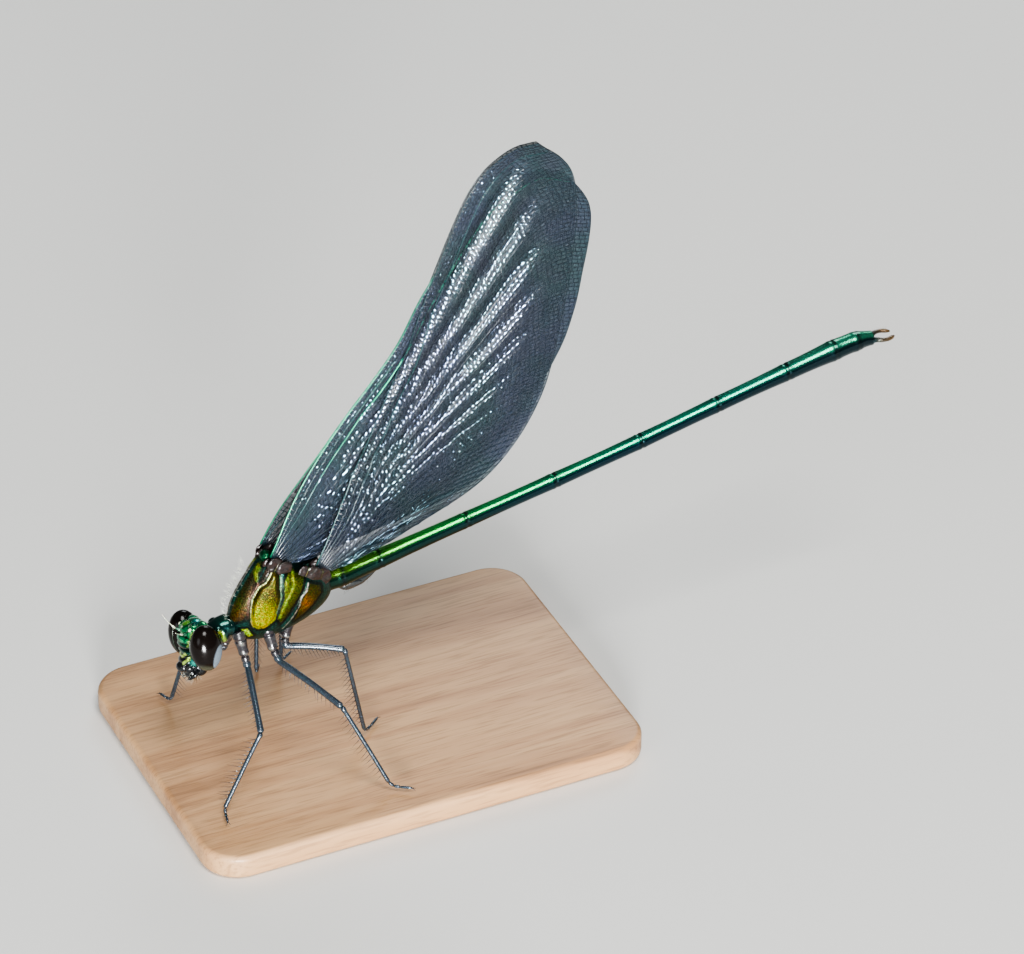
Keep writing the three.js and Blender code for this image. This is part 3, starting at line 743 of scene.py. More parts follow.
thorax_bm = bmesh.new()
bmesh.ops.create_uvsphere(thorax_bm, u_segments=220, v_segments=180, radius=1.0)
low = THORAX_SECTIONS[0, 0] - THORAX_OVERRUN
high = THORAX_SECTIONS[-1, 0] + THORAX_OVERRUN
for v in thorax_bm.verts:
    turn = math.atan2(v.co.y, v.co.x)
    level = 0.5 - 0.5 * math.cos(math.pi * (math.asin(max(-1, min(1, v.co.z))) / math.pi + 0.5))
    z = low + (high - low) * level
    front, rear, half = smooth_section(z)
    near_end = min(z - low, high - z) / END_ROUND
    closing = math.sqrt(max(0.0, 1 - (1 - near_end) ** 2)) if near_end < 1 else 1.0
    bent = [math.copysign(abs(c) ** THORAX_SQUARENESS, c) for c in (math.cos(turn), math.sin(turn))]
    middle, length = (front + rear) / 2, (rear - front) / 2
    ahead = max(0.0, -bent[0])
    out = half * bent[1] * closing * (1 - THORAX_NARROWING * ahead**2)
    v.co = (middle + length * bent[0] * closing, out, z)
thorax_bm.normal_update()
print("thorax verts:", len(thorax_bm.verts))

# %% The plates and seams, as outlines on the side in millimetres along and up
PLATES = {
    "mesepisternum": [
        (-2.81, 5.0), (-1.57, 4.49), (-2.2, 3.21), (-2.41, 2.67), (-3.0, 0.87), (-3.49, -0.12),
        (-4.17, -0.41), (-4.63, -0.15), (-5.2, 1.28), (-4.6, 2.9), (-3.9, 4.2),
    ],
    "brown_band": [
        (-2.24, 3.07), (-1.95, 2.65), (-2.78, 1.56), (-3.02, -0.04), (-3.32, -0.01), (-2.98, 1.49),
    ],
    "mesepimeron": [
        (-0.95, 3.88), (-0.66, 3.34), (-0.76, 2.31), (-0.64, 1.59), (-0.97, 0.62), (-1.13, -0.33),
        (-1.85, -0.98), (-2.38, -1.01), (-2.78, -0.73), (-2.88, 0.22), (-2.64, 1.6), (-2.08, 2.56),
        (-1.61, 2.87),
    ],
    "metepisternum": [
        (0.14, 3.4), (0.87, 3.17), (1.33, 2.73), (1.03, 1.75), (0.48, 0.86), (-0.15, -0.17),
        (-0.64, -0.79), (-0.96, -0.3), (-0.38, 1.43), (-0.28, 2.77),
    ],
    "metepimeron": [
        (1.78, 2.06), (2.64, 1.56), (2.69, 0.93), (2.01, 0.23), (1.25, -0.46), (0.43, -0.97),
        (1.02, 1.0), (1.43, 1.48),
    ],
    "lit_plate": [(-3.55, -1.0), (-3.15, -0.95), (-2.72, -1.7), (-3.0, -1.85)],
}
SEAMS = {
    "front_rim": [(-1.6, 4.4), (-2.1, 3.6), (-2.22, 3.0)],
    "cream": [
        (-0.95, 3.88), (-1.61, 2.87), (-2.08, 2.56), (-2.36, 2.12), (-2.64, 1.6), (-2.83, 0.89),
        (-2.9, 0.22), (-2.87, -0.4), (-2.74, -0.78),
    ],
    "pale": [(-0.49, 3.44), (-0.63, 2.27), (-0.61, 1.57), (-0.86, 0.81), (-1.01, 0.25)],
    # Not a seam: the bright lime streak on the rear plate is a painted highlight.
    "highlight_streak": [(0.47, 3.3), (0.4, 2.37), (-0.22, 1.19), (-0.82, -0.19)],
    "dark": [(1.31, 1.97), (0.75, 1.08), (0.06, 0.07), (-0.64, -1.09)],
    "white": [(1.6, 2.19), (1.45, 1.61), (0.98, 1.17), (0.8, 0.45), (0.24, -0.53), (-0.45, -1.54)],
}


def from_line(points, outline):
    """The distance from each point to a line of straight pieces, and the share along it."""
    best = np.full(len(points), 1e9)
    share = np.zeros(len(points))
    ends = np.array(outline, float)
    for i, (a, b) in enumerate(zip(ends, ends[1:])):
        way = b - a
        t = np.clip(((points - a) @ way) / (way @ way), 0, 1)
        apart = np.linalg.norm(points - a - t[:, None] * way, axis=1)
        nearer = apart < best
        best = np.where(nearer, apart, best)
        share = np.where(nearer, (i + t) / (len(ends) - 1), share)
    return best, share


def within(points, outline):
    """How far each point lies inside an outline, below zero where it's outside."""
    ends = np.array(outline, float)
    inside = np.zeros(len(points), bool)
    for (x0, z0), (x1, z1) in zip(ends, np.roll(ends, -1, axis=0)):
        crosses = (z0 > points[:, 1]) != (z1 > points[:, 1])
        at = x0 + (points[:, 1] - z0) * (x1 - x0) / np.where(z1 == z0, 1e-9, z1 - z0)
        inside ^= crosses & (points[:, 0] < at)
    apart, _ = from_line(points, [*outline, outline[0]])
    return np.where(inside, apart, -apart)


def seam(points, name, half):
    """How strongly a seam line shows at each point, the painted highlight streak among them. It thins and
    dims along its length, and unevenly.
    """
    apart, share = from_line(points, SEAMS[name])
    uneven = 0.75 + 0.25 * np.sin(9 * points[:, 0] + 5) * np.sin(7 * points[:, 1])
    return np.exp(-((apart / (half * uneven)) ** 2)) * (1 - 0.6 * share) * uneven


# %% Raise the plates and sink the seams
PLATE_HEIGHT = 0.04
BOLD_PLATES = {"mesepimeron": 0.06}
SEAM_DEPTHS = {"cream": 0.07, "pale": 0.06, "dark": 0.07, "white": -0.03, "front_rim": -0.03}
SEAM_HALF = 0.13
CREST_HEIGHT, CREST_HALF = 0.14, 0.16

flank = np.array([v.co[:] for v in thorax_bm.verts])
facing = np.array([abs(v.normal.y) for v in thorax_bm.verts])
side_view = flank[:, [0, 2]]
relief = np.zeros(len(flank))
for name, outline in PLATES.items():
    height = BOLD_PLATES.get(name, PLATE_HEIGHT)
    relief += height * soft_step(within(side_view, outline), -0.02, 0.3)
for name, depth in SEAM_DEPTHS.items():
    apart, _ = from_line(side_view, SEAMS[name])
    relief -= depth * np.exp(-((apart / SEAM_HALF) ** 2))
relief *= soft_step(facing, 0.15, 0.6)
crest = np.exp(-((flank[:, 1] / CREST_HALF) ** 2))
crest = crest * soft_step(-flank[:, 0], 1.6, 2.6) * soft_step(flank[:, 2], 0.2, 1.2)
relief += CREST_HEIGHT * crest
for v, rise in zip(thorax_bm.verts, relief):
    v.co += v.normal * float(rise)

# %% Add the little shields on the back
KNOB_AT, KNOB_HALF = (-1.08, 0, 4.48), (0.45, 0.52, 0.4)
SHIELDS = [
    (KNOB_AT, KNOB_HALF),
    ((0.3, 0, 4.0), (0.95, 0.75, 0.45)),
    ((2.2, 0, 2.9), (0.95, 0.8, 0.42)),
    ((3.5, 0, 2.1), (0.5, 0.7, 0.4)),
]
for at, half in SHIELDS:
    add(thorax_bm, ball(at, half, 28, 18))
thorax = finish_piece("thorax_skin", fuse(thorax_bm, 0.05, 2), [thorax_skin], ["synthorax"])

# %% Tint the plates
METAL, DULL = 0.9, 0.0
TINTS = {
    "teal": (0.008, 0.045, 0.045, METAL),
    "bronze": (0.045, 0.06, 0.005, METAL),
    "bronze_low": (0.15, 0.08, 0.003, METAL),
    "brown": (0.04, 0.022, 0.018, METAL),
    # The dark gold holds painted shade, and the bright gold below it is a painted highlight.
    "gold": (0.028, 0.024, 0.0008, METAL),
    "gold_highlight_low": (0.42, 0.4, 0.002, METAL),
    "olive": (0.055, 0.065, 0.003, METAL),
    "amber": (0.24, 0.1, 0.004, METAL),
    "black": (0.008, 0.006, 0.005, 0.95),
    "cream": (0.36, 0.38, 0.17, 0.3),
    "pale": (0.22, 0.4, 0.24, 0.3),
    "lime": (0.4, 0.52, 0.05, 0.8),
    "white": (0.4, 0.38, 0.37, DULL),
    "grey_pink": (0.014, 0.008, 0.0085, DULL),
    "lit": (0.5, 0.7, 0.05, METAL),
    "knob": (0.005, 0.07, 0.035, METAL),
}
TINTS = {name: np.array(value) for name, value in TINTS.items()}
SEAM_TINTS = [
    ("front_rim", "lime", 0.11),
    ("cream", "cream", 0.05),
    ("pale", "pale", 0.06),
    # The lime streak is a painted highlight.
    ("highlight_streak", "lime", 0.15),
    ("dark", "black", 0.2),
    ("white", "white", 0.07),
]
BAND_LINE = [(-2.2, 3.0), (-2.41, 2.67), (-3.0, 0.87), (-3.49, -0.12)]
DARK_GAP = [(-1.3, 4.2), (-1.0, 3.95), (-1.7, 3.0), (-2.1, 2.6), (-1.95, 3.2)]
WARM_AT, WARM_HALF = (1.35, 0.5), (0.5, 0.6)


def lay(tint, over, mask):
    """A tint with another laid over it where the mask is 1."""
    return tint * (1 - mask[:, None]) + over * mask[:, None]


def thorax_tint(places):
    """The plates' tints from the front backwards, and then the seams over them."""
    x, y, z = places.T
    side_on = places[:, [0, 2]]
    outward = soft_step(np.abs(y), 0.12, 0.4)
    depths = {name: within(side_on, outline) for name, outline in PLATES.items()}
    plate = {name: soft_step(depth, -0.06, 0.06) * outward for name, depth in depths.items()}
    near_plates = np.max(list(depths.values()), axis=0)
    tint = np.tile(TINTS["teal"], (len(x), 1))
    tint = lay(tint, TINTS["black"], soft_step(near_plates, -0.32, -0.18) * outward * 0.75)

    low_front = soft_step(-z, -1.6, 0.3)[:, None]
    bronze = TINTS["bronze"] * (1 - low_front) + TINTS["bronze_low"] * low_front
    tint = lay(tint, bronze, plate["mesepisternum"])
    # Painted shade: the front plate darkens towards the brown band.
    band_shade_distance, _ = from_line(side_on, BAND_LINE)
    tint = lay(tint, TINTS["brown"], (1 - soft_step(band_shade_distance, 0.1, 0.9)) * plate["mesepisternum"] * 0.8)
    tint = lay(tint, TINTS["brown"], plate["brown_band"] * 0.9)
    tint = lay(tint, TINTS["black"], soft_step(within(side_on, DARK_GAP), -0.05, 0.05) * outward)

    # Painted light on the gold lobe: painted shade at the top and a painted highlight at the bottom.
    low = soft_step(-z, -1.9, 1.0)[:, None]
    gold = TINTS["gold"] * (1 - low) + TINTS["gold_highlight_low"] * low
    tint = lay(tint, gold, plate["mesepimeron"])
    tint = lay(tint, TINTS["olive"], plate["metepisternum"])
    from_warm = ((x - WARM_AT[0]) / WARM_HALF[0]) ** 2, ((z - WARM_AT[1]) / WARM_HALF[1]) ** 2
    warm = np.exp(-from_warm[0] - from_warm[1])[:, None]
    rear_tint = TINTS["amber"] * warm + TINTS["gold"] * (1.6, 1.6, 1.6, 1) * (1 - warm)
    tint = lay(tint, rear_tint, plate["metepimeron"])
    tint = lay(tint, TINTS["lit"], plate["lit_plate"])

    for name, colour, half in SEAM_TINTS:
        tint = lay(tint, TINTS[colour], seam(side_on, name, half) * outward)
    from_knob = np.linalg.norm((places - KNOB_AT) / KNOB_HALF, axis=1)
    return lay(tint, TINTS["knob"], 1 - soft_step(from_knob, 1.1, 1.3))


paint(thorax, thorax_tint)
print("plates:", list(PLATES), "seams:", list(SEAMS))

# %% [markdown]
# ### The plates at the wing roots
# Each pair of wings hangs in a fold of small mauve plates with pale edges, like crumpled parchment.
# They are balls pressed flat and set side by side, then melted into one skin and crumpled a
# little. Where two plates are equally near, the edge between them is pale.

# %% Melt the hinge plates
# Each plate: its middle on the right side, and its half sizes before it leans back.
HINGES = {
    "fore": [
        ((-1.15, 0.66, 4.12), (0.5, 0.16, 0.46)),
        ((-0.75, 1.1, 4.1), (0.66, 0.15, 0.7)),
        ((-0.1, 1.3, 3.75), (0.66, 0.15, 0.62)),
        ((-0.55, 0.7, 4.45), (0.55, 0.3, 0.3)),
    ],
    "hind": [
        ((1.45, 1.36, 3.0), (0.58, 0.15, 0.52)),
        ((2.15, 1.42, 2.65), (0.68, 0.15, 0.75)),
        ((2.85, 1.26, 2.15), (0.72, 0.16, 0.9)),
        ((2.4, 1.0, 3.2), (0.55, 0.3, 0.3)),
    ],
}
HINGE_LEAN = Matrix.Rotation(-0.75, 4, "Y")
CRUMPLES = [(0.06, 2.6), (0.015, 7.0)]
hinge_bm = bmesh.new()
for lobes in HINGES.values():
    for (x, y, z), half in lobes:
        for side in SIDES.values():
            add(hinge_bm, ball((0, 0, 0), half, 28, 20), Matrix.Translation((x, side * y, z)) @ HINGE_LEAN)
hinge_bm = fuse(hinge_bm, 0.035, 9)
hinge_bm.normal_update()
for v in hinge_bm.verts:
    rises = [v.normal * height * noise.noise(v.co * scale) for height, scale in CRUMPLES]
    v.co += rises[0] + rises[1]
hinges = finish_piece("wing_hinges", hinge_bm, [hinge_skin])


def hinge_tint(places):
    """Grey-pink plates, with painted shade in the creases towards their edges and a pale line where two of
    them meet.
    """
    tint = np.tile(TINTS["grey_pink"], (len(places), 1))
    mirrored = places * (1, 0, 1) + np.abs(places) * (0, 1, 0)
    lobes = [lobe for group in HINGES.values() for lobe in group]
    apart = np.sort([np.linalg.norm((mirrored - at) / half, axis=1) for at, half in lobes], axis=0)
    from_edge = apart[1] - apart[0]
    edge = np.exp(-((from_edge / 0.04) ** 2)) * soft_step(mirrored[:, 1], 0.9, 1.15) * 0.5
    # Painted shade in the creases between the plates.
    tint = lay(tint, TINTS["black"], soft_step(0.18 - from_edge, -0.1, 0.1) * 0.6)
    return lay(tint, TINTS["cream"] * (0.75, 0.7, 0.75, 1), edge)


paint(hinges, hinge_tint)

# %% [markdown]
# ## The neck shield
# A short collar joins the head to the thorax. It's a swept tube with raised lobes on its sides
# and back, dark teal with a painted lime glint on each side, and it reaches a little into both
# neighbours.

# %% Sweep the neck shield
COLLAR_LINE = [
    (-6.3, 0, -1.15), (-5.9, 0, -1.1), (-5.4, 0, -1.02), (-4.95, 0, -0.95), (-4.5, 0, -0.95), (-4.0, 0, -1.0),
]
COLLAR_RADII = [0.36, 0.52, 0.66, 0.78, 0.86, 0.84]
COLLAR_GLINT = [(-5.25, -0.8), (-5.08, -1.1), (-4.88, -1.62)]
collar = swept(COLLAR_LINE, 40, np.linspace(0, 1, 6), COLLAR_RADII, sides=40, flat=1.08)
for side in SIDES.values():
    add(collar, ball((-5.2, side * 0.45, -0.72), (0.45, 0.4, 0.36), 24, 16))
    add(collar, ball((-4.85, side * 0.68, -1.3), (0.4, 0.34, 0.68), 24, 16))
add(collar, ball((-4.4, 0, -0.48), (0.36, 0.55, 0.28), 24, 16))
neck = finish_piece("neck_shield", fuse(collar, 0.04, 14), [head_metal], ["prothorax"])


def neck_tint(places):
    """Teal below, greener above, with a painted lime glint on each side and a dull underside."""
    x, y, z = places.T
    tint = np.tile(TINTS["teal"], (len(x), 1))
    tint = lay(tint, np.array((0.008, 0.07, 0.05, METAL)), soft_step(z, -0.6, 0.1))
    # Painted highlight: the lime glint on each side.
    apart, _ = from_line(places[:, [0, 2]], COLLAR_GLINT)
    glint = np.exp(-((apart / 0.13) ** 2)) * soft_step(np.abs(y), 0.3, 0.6)
    tint = lay(tint, TINTS["lime"] * (0.8, 0.95, 0.8, 1), glint)
    return lay(tint, TINTS["grey_pink"] * 2.5, soft_step(-z, 1.3, 1.8) * soft_step(x, -5.2, -4.8))


paint(neck, neck_tint)

# %% [markdown]
# ## The head
# The head is a short bar with an eye on each end, turned and rolled a little as in the photo.
# Its parts are made in the head's own places, with the face towards -X, and one matrix sets
# them on the animal. The crown and brow are one mesh of merged lumps, so that light runs over
# them as over real plates.

# %% The head's own places
HEAD = Matrix.Translation((-6.9, 0, -1.56)) @ Matrix.Rotation(0.065, 4, "Z") @ Matrix.Rotation(-0.26, 4, "X")
HEAD_BACK = np.array(HEAD.inverted())


def in_head(places):
    """Places in the head's own frame."""
    return places @ HEAD_BACK[:3, :3].T + HEAD_BACK[:3, 3]


# Each lump: its middle, its half sizes, and how finely it is cut round and down.
CROWN = [
    ((-0.02, 0, 0.1), (0.98, 1.95, 1.42), 64, 48),
    ((-0.3, 0, 1.02), (0.72, 0.82, 0.62), 40, 30),
    ((-0.35, 0.72, 0.95), (0.5, 0.5, 0.55), 32, 24),
    ((-0.35, -0.72, 0.95), (0.5, 0.5, 0.55), 32, 24),
    ((-0.78, 0, 0.42), (0.5, 0.98, 0.4), 40, 28),
    ((-0.82, 0, -0.02), (0.48, 1.05, 0.34), 40, 28),
    ((0.4, 0.75, 1.15), (0.5, 0.7, 0.5), 32, 24),
    ((0.4, -0.75, 1.15), (0.5, 0.7, 0.5), 32, 24),
    ((0.15, 0, 1.2), (0.7, 0.9, 0.52), 32, 24),
]
crown = bmesh.new()
for at, half, sectors, rings in CROWN:
    add(crown, ball(at, half, sectors, rings))
crown = fuse(crown, 0.04, 4)
OCELLI = [(-0.78, 0, 1.3), (-0.62, 0.88, 1.27), (-0.62, -0.88, 1.27)]
OCELLUS_HALF = 0.13
for at in OCELLI:
    add(crown, ball(at, [OCELLUS_HALF] * 3, 20, 14))
bmesh.ops.transform(crown, matrix=HEAD, verts=crown.verts)
head = finish_piece("head_skin", crown, [head_metal], ["head"])


CROWN_SEAMS = [
    [(-1.0, 0.62), (-0.45, 0.75), (0.45, 0.75), (1.0, 0.62)],
    [(-0.9, 1.2), (-0.35, 1.02), (0.0, 1.12), (0.35, 1.02), (0.9, 1.2)],
    [(-0.55, 1.6), (-0.18, 1.3), (0.18, 1.3), (0.55, 1.6)],
    [(0.0, 0.75), (0.0, 0.25)],
    [(-0.95, 0.2), (0.95, 0.2)],
]
# Each patch: its middle, its size and its colour.
PATCHES = [
    ((-0.5, 0.02, 1.6), 0.32, (0.3, 0.8, 0.06)),
    ((0.14, -0.42, 1.48), 0.38, (0.008, 0.3, 0.3)),
    ((0.14, 0.5, 1.45), 0.36, (0.01, 0.4, 0.2)),
    ((-1.1, -0.36, 0.58), 0.3, (0.04, 0.5, 0.22)),
    ((-1.1, 0.36, 0.58), 0.3, (0.02, 0.3, 0.16)),
]


def head_tint(places):
    """Emerald above and black below, with bright patches, dark seams, and pale ocelli brightened as painted
    glints.
    """
    local = in_head(places)
    x, y, z = local.T
    emerald = np.array((0.012, 0.3, 0.11, METAL))
    deep = np.array((0.006, 0.09, 0.07, METAL))
    tint = lay(np.tile(deep, (len(x), 1)), emerald, soft_step(z, -0.2, 0.8))
    for at, size, colour in PATCHES:
        apart = np.linalg.norm(local - at, axis=1)
        tint = lay(tint, np.array((*colour, METAL)), np.exp(-((apart / size) ** 4)))
        tint = lay(tint, TINTS["black"], np.exp(-(((apart - 1.15 * size) / 0.04) ** 2)) * 0.6)
    for outline in CROWN_SEAMS:
        apart, _ = from_line(local[:, 1:], outline)
        tint = lay(tint, TINTS["black"], np.exp(-((apart / 0.045) ** 2)) * 0.9 * soft_step(-x, -0.4, 0.0))
    tint = lay(tint, TINTS["black"], soft_step(-z, -0.15, 0.1))
    eye_side, _ = from_line(np.column_stack([np.abs(y), z]), [(1.18, 1.2), (1.0, 0.6), (0.88, 0.1)])
    beside_eye = np.exp(-((eye_side / 0.07) ** 2)) * soft_step(-x, 0.2, 0.5)
    tint = lay(tint, TINTS["lime"] * (0.8, 0.9, 1.5, 0.5), beside_eye * 0.8)
    # The ocelli are pale lenses, painted brighter as glints.
    for at in OCELLI:
        apart = np.linalg.norm(local - at, axis=1)
        tint = lay(tint, np.array((0.7, 0.75, 0.6, 0.1)), 1 - soft_step(apart, OCELLUS_HALF, 0.17))
    return tint


paint(head, head_tint)

# %% [markdown]
# ### The face and mouth
# Below the brow the face steps down in plates: a black band, a clypeus with lime glints, a
# domed upper lip, a jaw base on each side and the lower lip with its bristly feelers.

# %% Model the face and mouth
FACE = [
    ((-0.84, 0, -0.5), (0.42, 1.0, 0.3)),
    ((-0.92, 0, -0.86), (0.36, 0.86, 0.2)),
    ((-1.02, 0, -1.28), (0.45, 0.82, 0.36)),
    ((-1.3, 0, -1.72), (0.5, 0.6, 0.42)),
    ((-0.55, 0.95, -1.15), (0.45, 0.34, 0.52)),
    ((-0.55, -0.95, -1.15), (0.45, 0.34, 0.52)),
    ((-0.85, 0.32, -1.85), (0.5, 0.42, 0.5)),
    ((-0.85, -0.32, -1.85), (0.5, 0.42, 0.5)),
    ((-0.3, 0, -1.75), (0.75, 0.9, 0.62)),
    ((-0.15, 0.6, -2.1), (0.55, 0.38, 0.55)),
    ((-0.15, -0.6, -2.1), (0.55, 0.38, 0.55)),
    ((-0.75, 0, -2.3), (0.55, 0.75, 0.5)),
]
MOUTH_BRISTLES = 110
mouth = bmesh.new()
for at, half in FACE:
    add(mouth, ball(at, half, 36, 26))
mouth = fuse(mouth, 0.04, 3)
for side in SIDES.values():
    palp = [
        (-0.3, side * 0.75, -2.0), (-0.75, side * 0.85, -2.35), (-1.1, side * 0.6, -2.6),
        (-1.2, side * 0.35, -2.75),
    ]
    add(mouth, swept(palp, 16, [0, 0.4, 0.8, 1], [0.2, 0.16, 0.12, 0.05], 12))
    jaw = [(-0.8, side * 0.7, -1.45), (-1.15, side * 0.5, -1.7), (-1.2, side * 0.15, -1.85)]
    add(mouth, swept(jaw, 14, [0, 0.6, 1], [0.26, 0.16, 0.04], 12))
for _ in range(MOUTH_BRISTLES):
    turn = RANDOM.uniform(-1.4, 1.4)
    start = Vector((-0.25 - 0.75 * math.cos(turn), 0.85 * math.sin(turn), RANDOM.uniform(-2.6, -1.5)))
    way = Vector((-math.cos(turn), math.sin(turn) * 0.9, -0.8))
    add(mouth, spine(start, way, RANDOM.uniform(0.3, 0.75), 0.018))
bmesh.ops.transform(mouth, matrix=HEAD, verts=mouth.verts)
face = finish_piece("face_and_mouth", mouth, [head_metal], ["mouthparts"])


FACE_REFLECTION_BARS = [[(0.1, -0.9), (0.58, -0.58)], [(0.45, -1.32), (0.82, -0.9)]]


def face_tint(places):
    """Black, with a green brow, lime bars as painted reflections, and a painted turquoise glint on each jaw
    base.
    """
    x, y, z = in_head(places).T
    tint = np.tile((0.007, 0.008, 0.01, 0.5), (len(x), 1))
    lime = TINTS["lime"] * (0.9, 0.95, 2.0, 0.7)
    front = soft_step(-x, 0.6, 0.9)
    tint = lay(tint, np.array((0.006, 0.06, 0.04, METAL)), np.exp(-(((z + 0.5) / 0.2) ** 2)) * front)
    # Painted reflections: the lime bars where the face turns to the side.
    for bar in FACE_REFLECTION_BARS:
        apart, _ = from_line(np.column_stack([np.abs(y), z]), bar)
        tint = lay(tint, lime, np.exp(-((apart / 0.105) ** 4)) * front)
    # Painted glint: the turquoise on each jaw base.
    jaw = np.linalg.norm(np.column_stack([x + 0.75, np.abs(y) - 1.05, z + 1.2]), axis=1)
    return lay(tint, np.array((0.03, 0.5, 0.42, METAL)), np.exp(-((jaw / 0.26) ** 2)))


paint(face, face_tint)

# %% [markdown]
# ### The eyes
# Each eye is most of a ball, glossy and nearly black, flatter towards the head, with a pale
# blue-grey crescent low behind. It sinks into the head's bar, and a thin pale rim marks the line.

# %% Model the eyes
EYE_HALF = (1.23, 1.02, 1.8)
EYE_OUT = 1.95
EYE_BLACK = (0.004, 0.0025, 0.002, 0)
EYE_LOW = (0.035, 0.038, 0.026, 0)
EYE_CRESCENT = (0.11, 0.14, 0.165, 0)
for name, side in SIDES.items():
    eye_bm = ball((0, side * EYE_OUT, 0), EYE_HALF, 96, 72)
    bmesh.ops.transform(eye_bm, matrix=HEAD, verts=eye_bm.verts)
    eye = finish_piece("eye_" + name + "_ball", eye_bm, [eye_gloss], ["eye_" + name])

    def eye_tint(places, side=side):
        """Black, with the pale crescent low behind."""
        local = (in_head(places) - (0, side * EYE_OUT, 0)) / EYE_HALF
        behind = local @ np.array((0.615, side * 0.634, -0.469))
        low = local @ np.array((-0.26, side * 0.17, -0.95))
        tint = np.tile(EYE_BLACK, (len(local), 1))
        tint = lay(tint, np.array(EYE_LOW), soft_step(low, 0.72, 0.92))
        return lay(tint, np.array(EYE_CRESCENT), soft_step(behind, 0.8, 0.84))

    paint(eye, eye_tint)

RIM_SHARE = 0.93
RIM_FROM, RIM_ARC, RIM_STEPS = 150, 250, 28
RIM_RADIUS = 0.035
rim = bmesh.new()
for side in SIDES.values():
    ring = []
    for i in range(RIM_STEPS + 1):
        turn = math.radians(RIM_FROM + RIM_ARC * i / RIM_STEPS)
        x = EYE_HALF[0] * RIM_SHARE * math.cos(turn)
        z = EYE_HALF[2] * RIM_SHARE * math.sin(turn)
        ring.append((x, side * (EYE_OUT - 0.42), z))
    add(rim, tube(smooth_line(ring, 60), [RIM_RADIUS] * 60, 8))
bmesh.ops.transform(rim, matrix=HEAD, verts=rim.verts)
rims = finish_piece("eye_rims", rim, [body_skin])
paint(rims, lambda p: np.tile((0.02, 0.03, 0.02, 0.4), (len(p), 1)))

# %% [markdown]
# ### The feelers
# A damselfly's feelers are short: two thick pale joints and then a hair.

# %% Sweep the feelers
FEELER_TIPS = {"left": (-2.2, -1.9, 1.9), "right": (-2.0, 0.75, 2.5)}
FEELER_SHARES = [0, 0.08, 0.16, 0.2, 0.42, 0.46, 1]
FEELER_RADII = [0.16, 0.15, 0.15, 0.085, 0.08, 0.035, 0.018]
for name, side in SIDES.items():
    root = Vector((-0.95, side * 0.5, 0.92))
    tip = Vector(FEELER_TIPS[name])
    places = [root.lerp(tip, s) + Vector((-0.12 * math.sin(math.pi * s), 0, 0)) for s in np.linspace(0, 1, 7)]
    places[0] += Vector((0.3, 0, -0.1))
    feeler = swept(places, 40, FEELER_SHARES, FEELER_RADII, 12)
    bmesh.ops.transform(feeler, matrix=HEAD, verts=feeler.verts)
    made = finish_piece("feeler_" + name, feeler, [body_skin], ["antenna_" + name])

    def feeler_tint(places, root=np.array(root)):
        """Green at the root and pale from the second joint on."""
        reach = np.linalg.norm(in_head(places) - root, axis=1)
        pale = soft_step(reach, 0.35, 0.5)
        return lay(np.tile((0.03, 0.1, 0.07, 0.6), (len(places), 1)), np.array((0.5, 0.5, 0.42, 0.2)), pale)

    paint(made, feeler_tint)

# %% [markdown]
# ## The legs
# Six thin legs, each with a short thick coxa, a femur, a tibia and a foot of three joints with
# two claws. Two rows of long fine spines face inwards, where the legs make a basket. Each leg
# is one mesh, so the joints show as swellings and not as cuts.

# %% Sweep the legs and plant their spines
# Each leg: its root, hip, knee, ankle and toe. A foot's heights come from the floor instead.
LEGS = {
    "fore_left": [
        (-3.7, -0.8, -1.6), (-3.4, -1.5, -3.9), (-4.4, -6.35, -6.65), (-8.05, -7.75, -11.5),
        (-8.3, -8.9, -11.85),
    ],
    "mid_left": [
        (-1.5, -1.0, -1.6), (-1.2, -1.9, -3.85), (1.7, -7.43, -5.44), (4.25, -10.05, -11.5),
        (5.73, -11, -11.85),
    ],
    "hind_left": [
        (0.4, -0.7, -1.4), (-0.3, -1.0, -3.5), (3.9, -2.95, -3.83), (5.2, -3.35, -11.5), (6.9, -1.98, -11.85),
    ],
    "fore_right": [
        (-3.8, 0.8, -1.6), (-4.1, 1.2, -4.0), (-4.9, 5.9, -5.6), (-6.5, 6.5, -11.5), (-6.94, 7.81, -11.85),
    ],
    "mid_right": [
        (-1.6, 1.0, -1.6), (-1.3, 1.9, -3.85), (1.2, 7.6, -4.6), (0.7, 7.0, -11.5), (1.3, 8.0, -11.85),
    ],
    "hind_right": [
        (0.4, 0.7, -1.4), (-0.3, 1.0, -3.5), (2.2, 5.0, -3.9), (3.0, 7.6, -11.5), (4.2, 8.5, -11.85),
    ],
}
FEMUR, TIBIA, TOE = 0.24, 0.17, 0.12
FEMUR_BOW, TIBIA_BOW = 0.12, 0.05
COXA_SHAPE = [0, 0.25, 0.32, 0.4, 0.7, 0.86, 0.93, 1], [0.5, 0.5, 0.43, 0.48, 0.4, 0.42, 0.34, 0.2]
TROCHANTER_SHAPE = [0, 0.2, 0.45, 0.52, 0.6, 0.85, 1], [0.2, 0.33, 0.32, 0.25, 0.31, 0.32, 0.18]
FEMUR_SHAPE = [0, 0.05, 0.2, 0.75, 0.94, 0.98, 1], [0.18, 0.25, FEMUR * 1.1, FEMUR, FEMUR * 1.1, 0.27, 0.16]
TIBIA_SHAPE = [0, 0.03, 0.07, 0.5, 0.95, 0.98, 1], [0.15, 0.23, TIBIA, TIBIA, TIBIA * 0.95, 0.18, 0.12]
# Each row of spines: how many, how long and how thick.
ROWS = {"femur": (14, 0.9, 0.034), "tibia": (16, 1.1, 0.03)}
FOOT_BRISTLES = 10


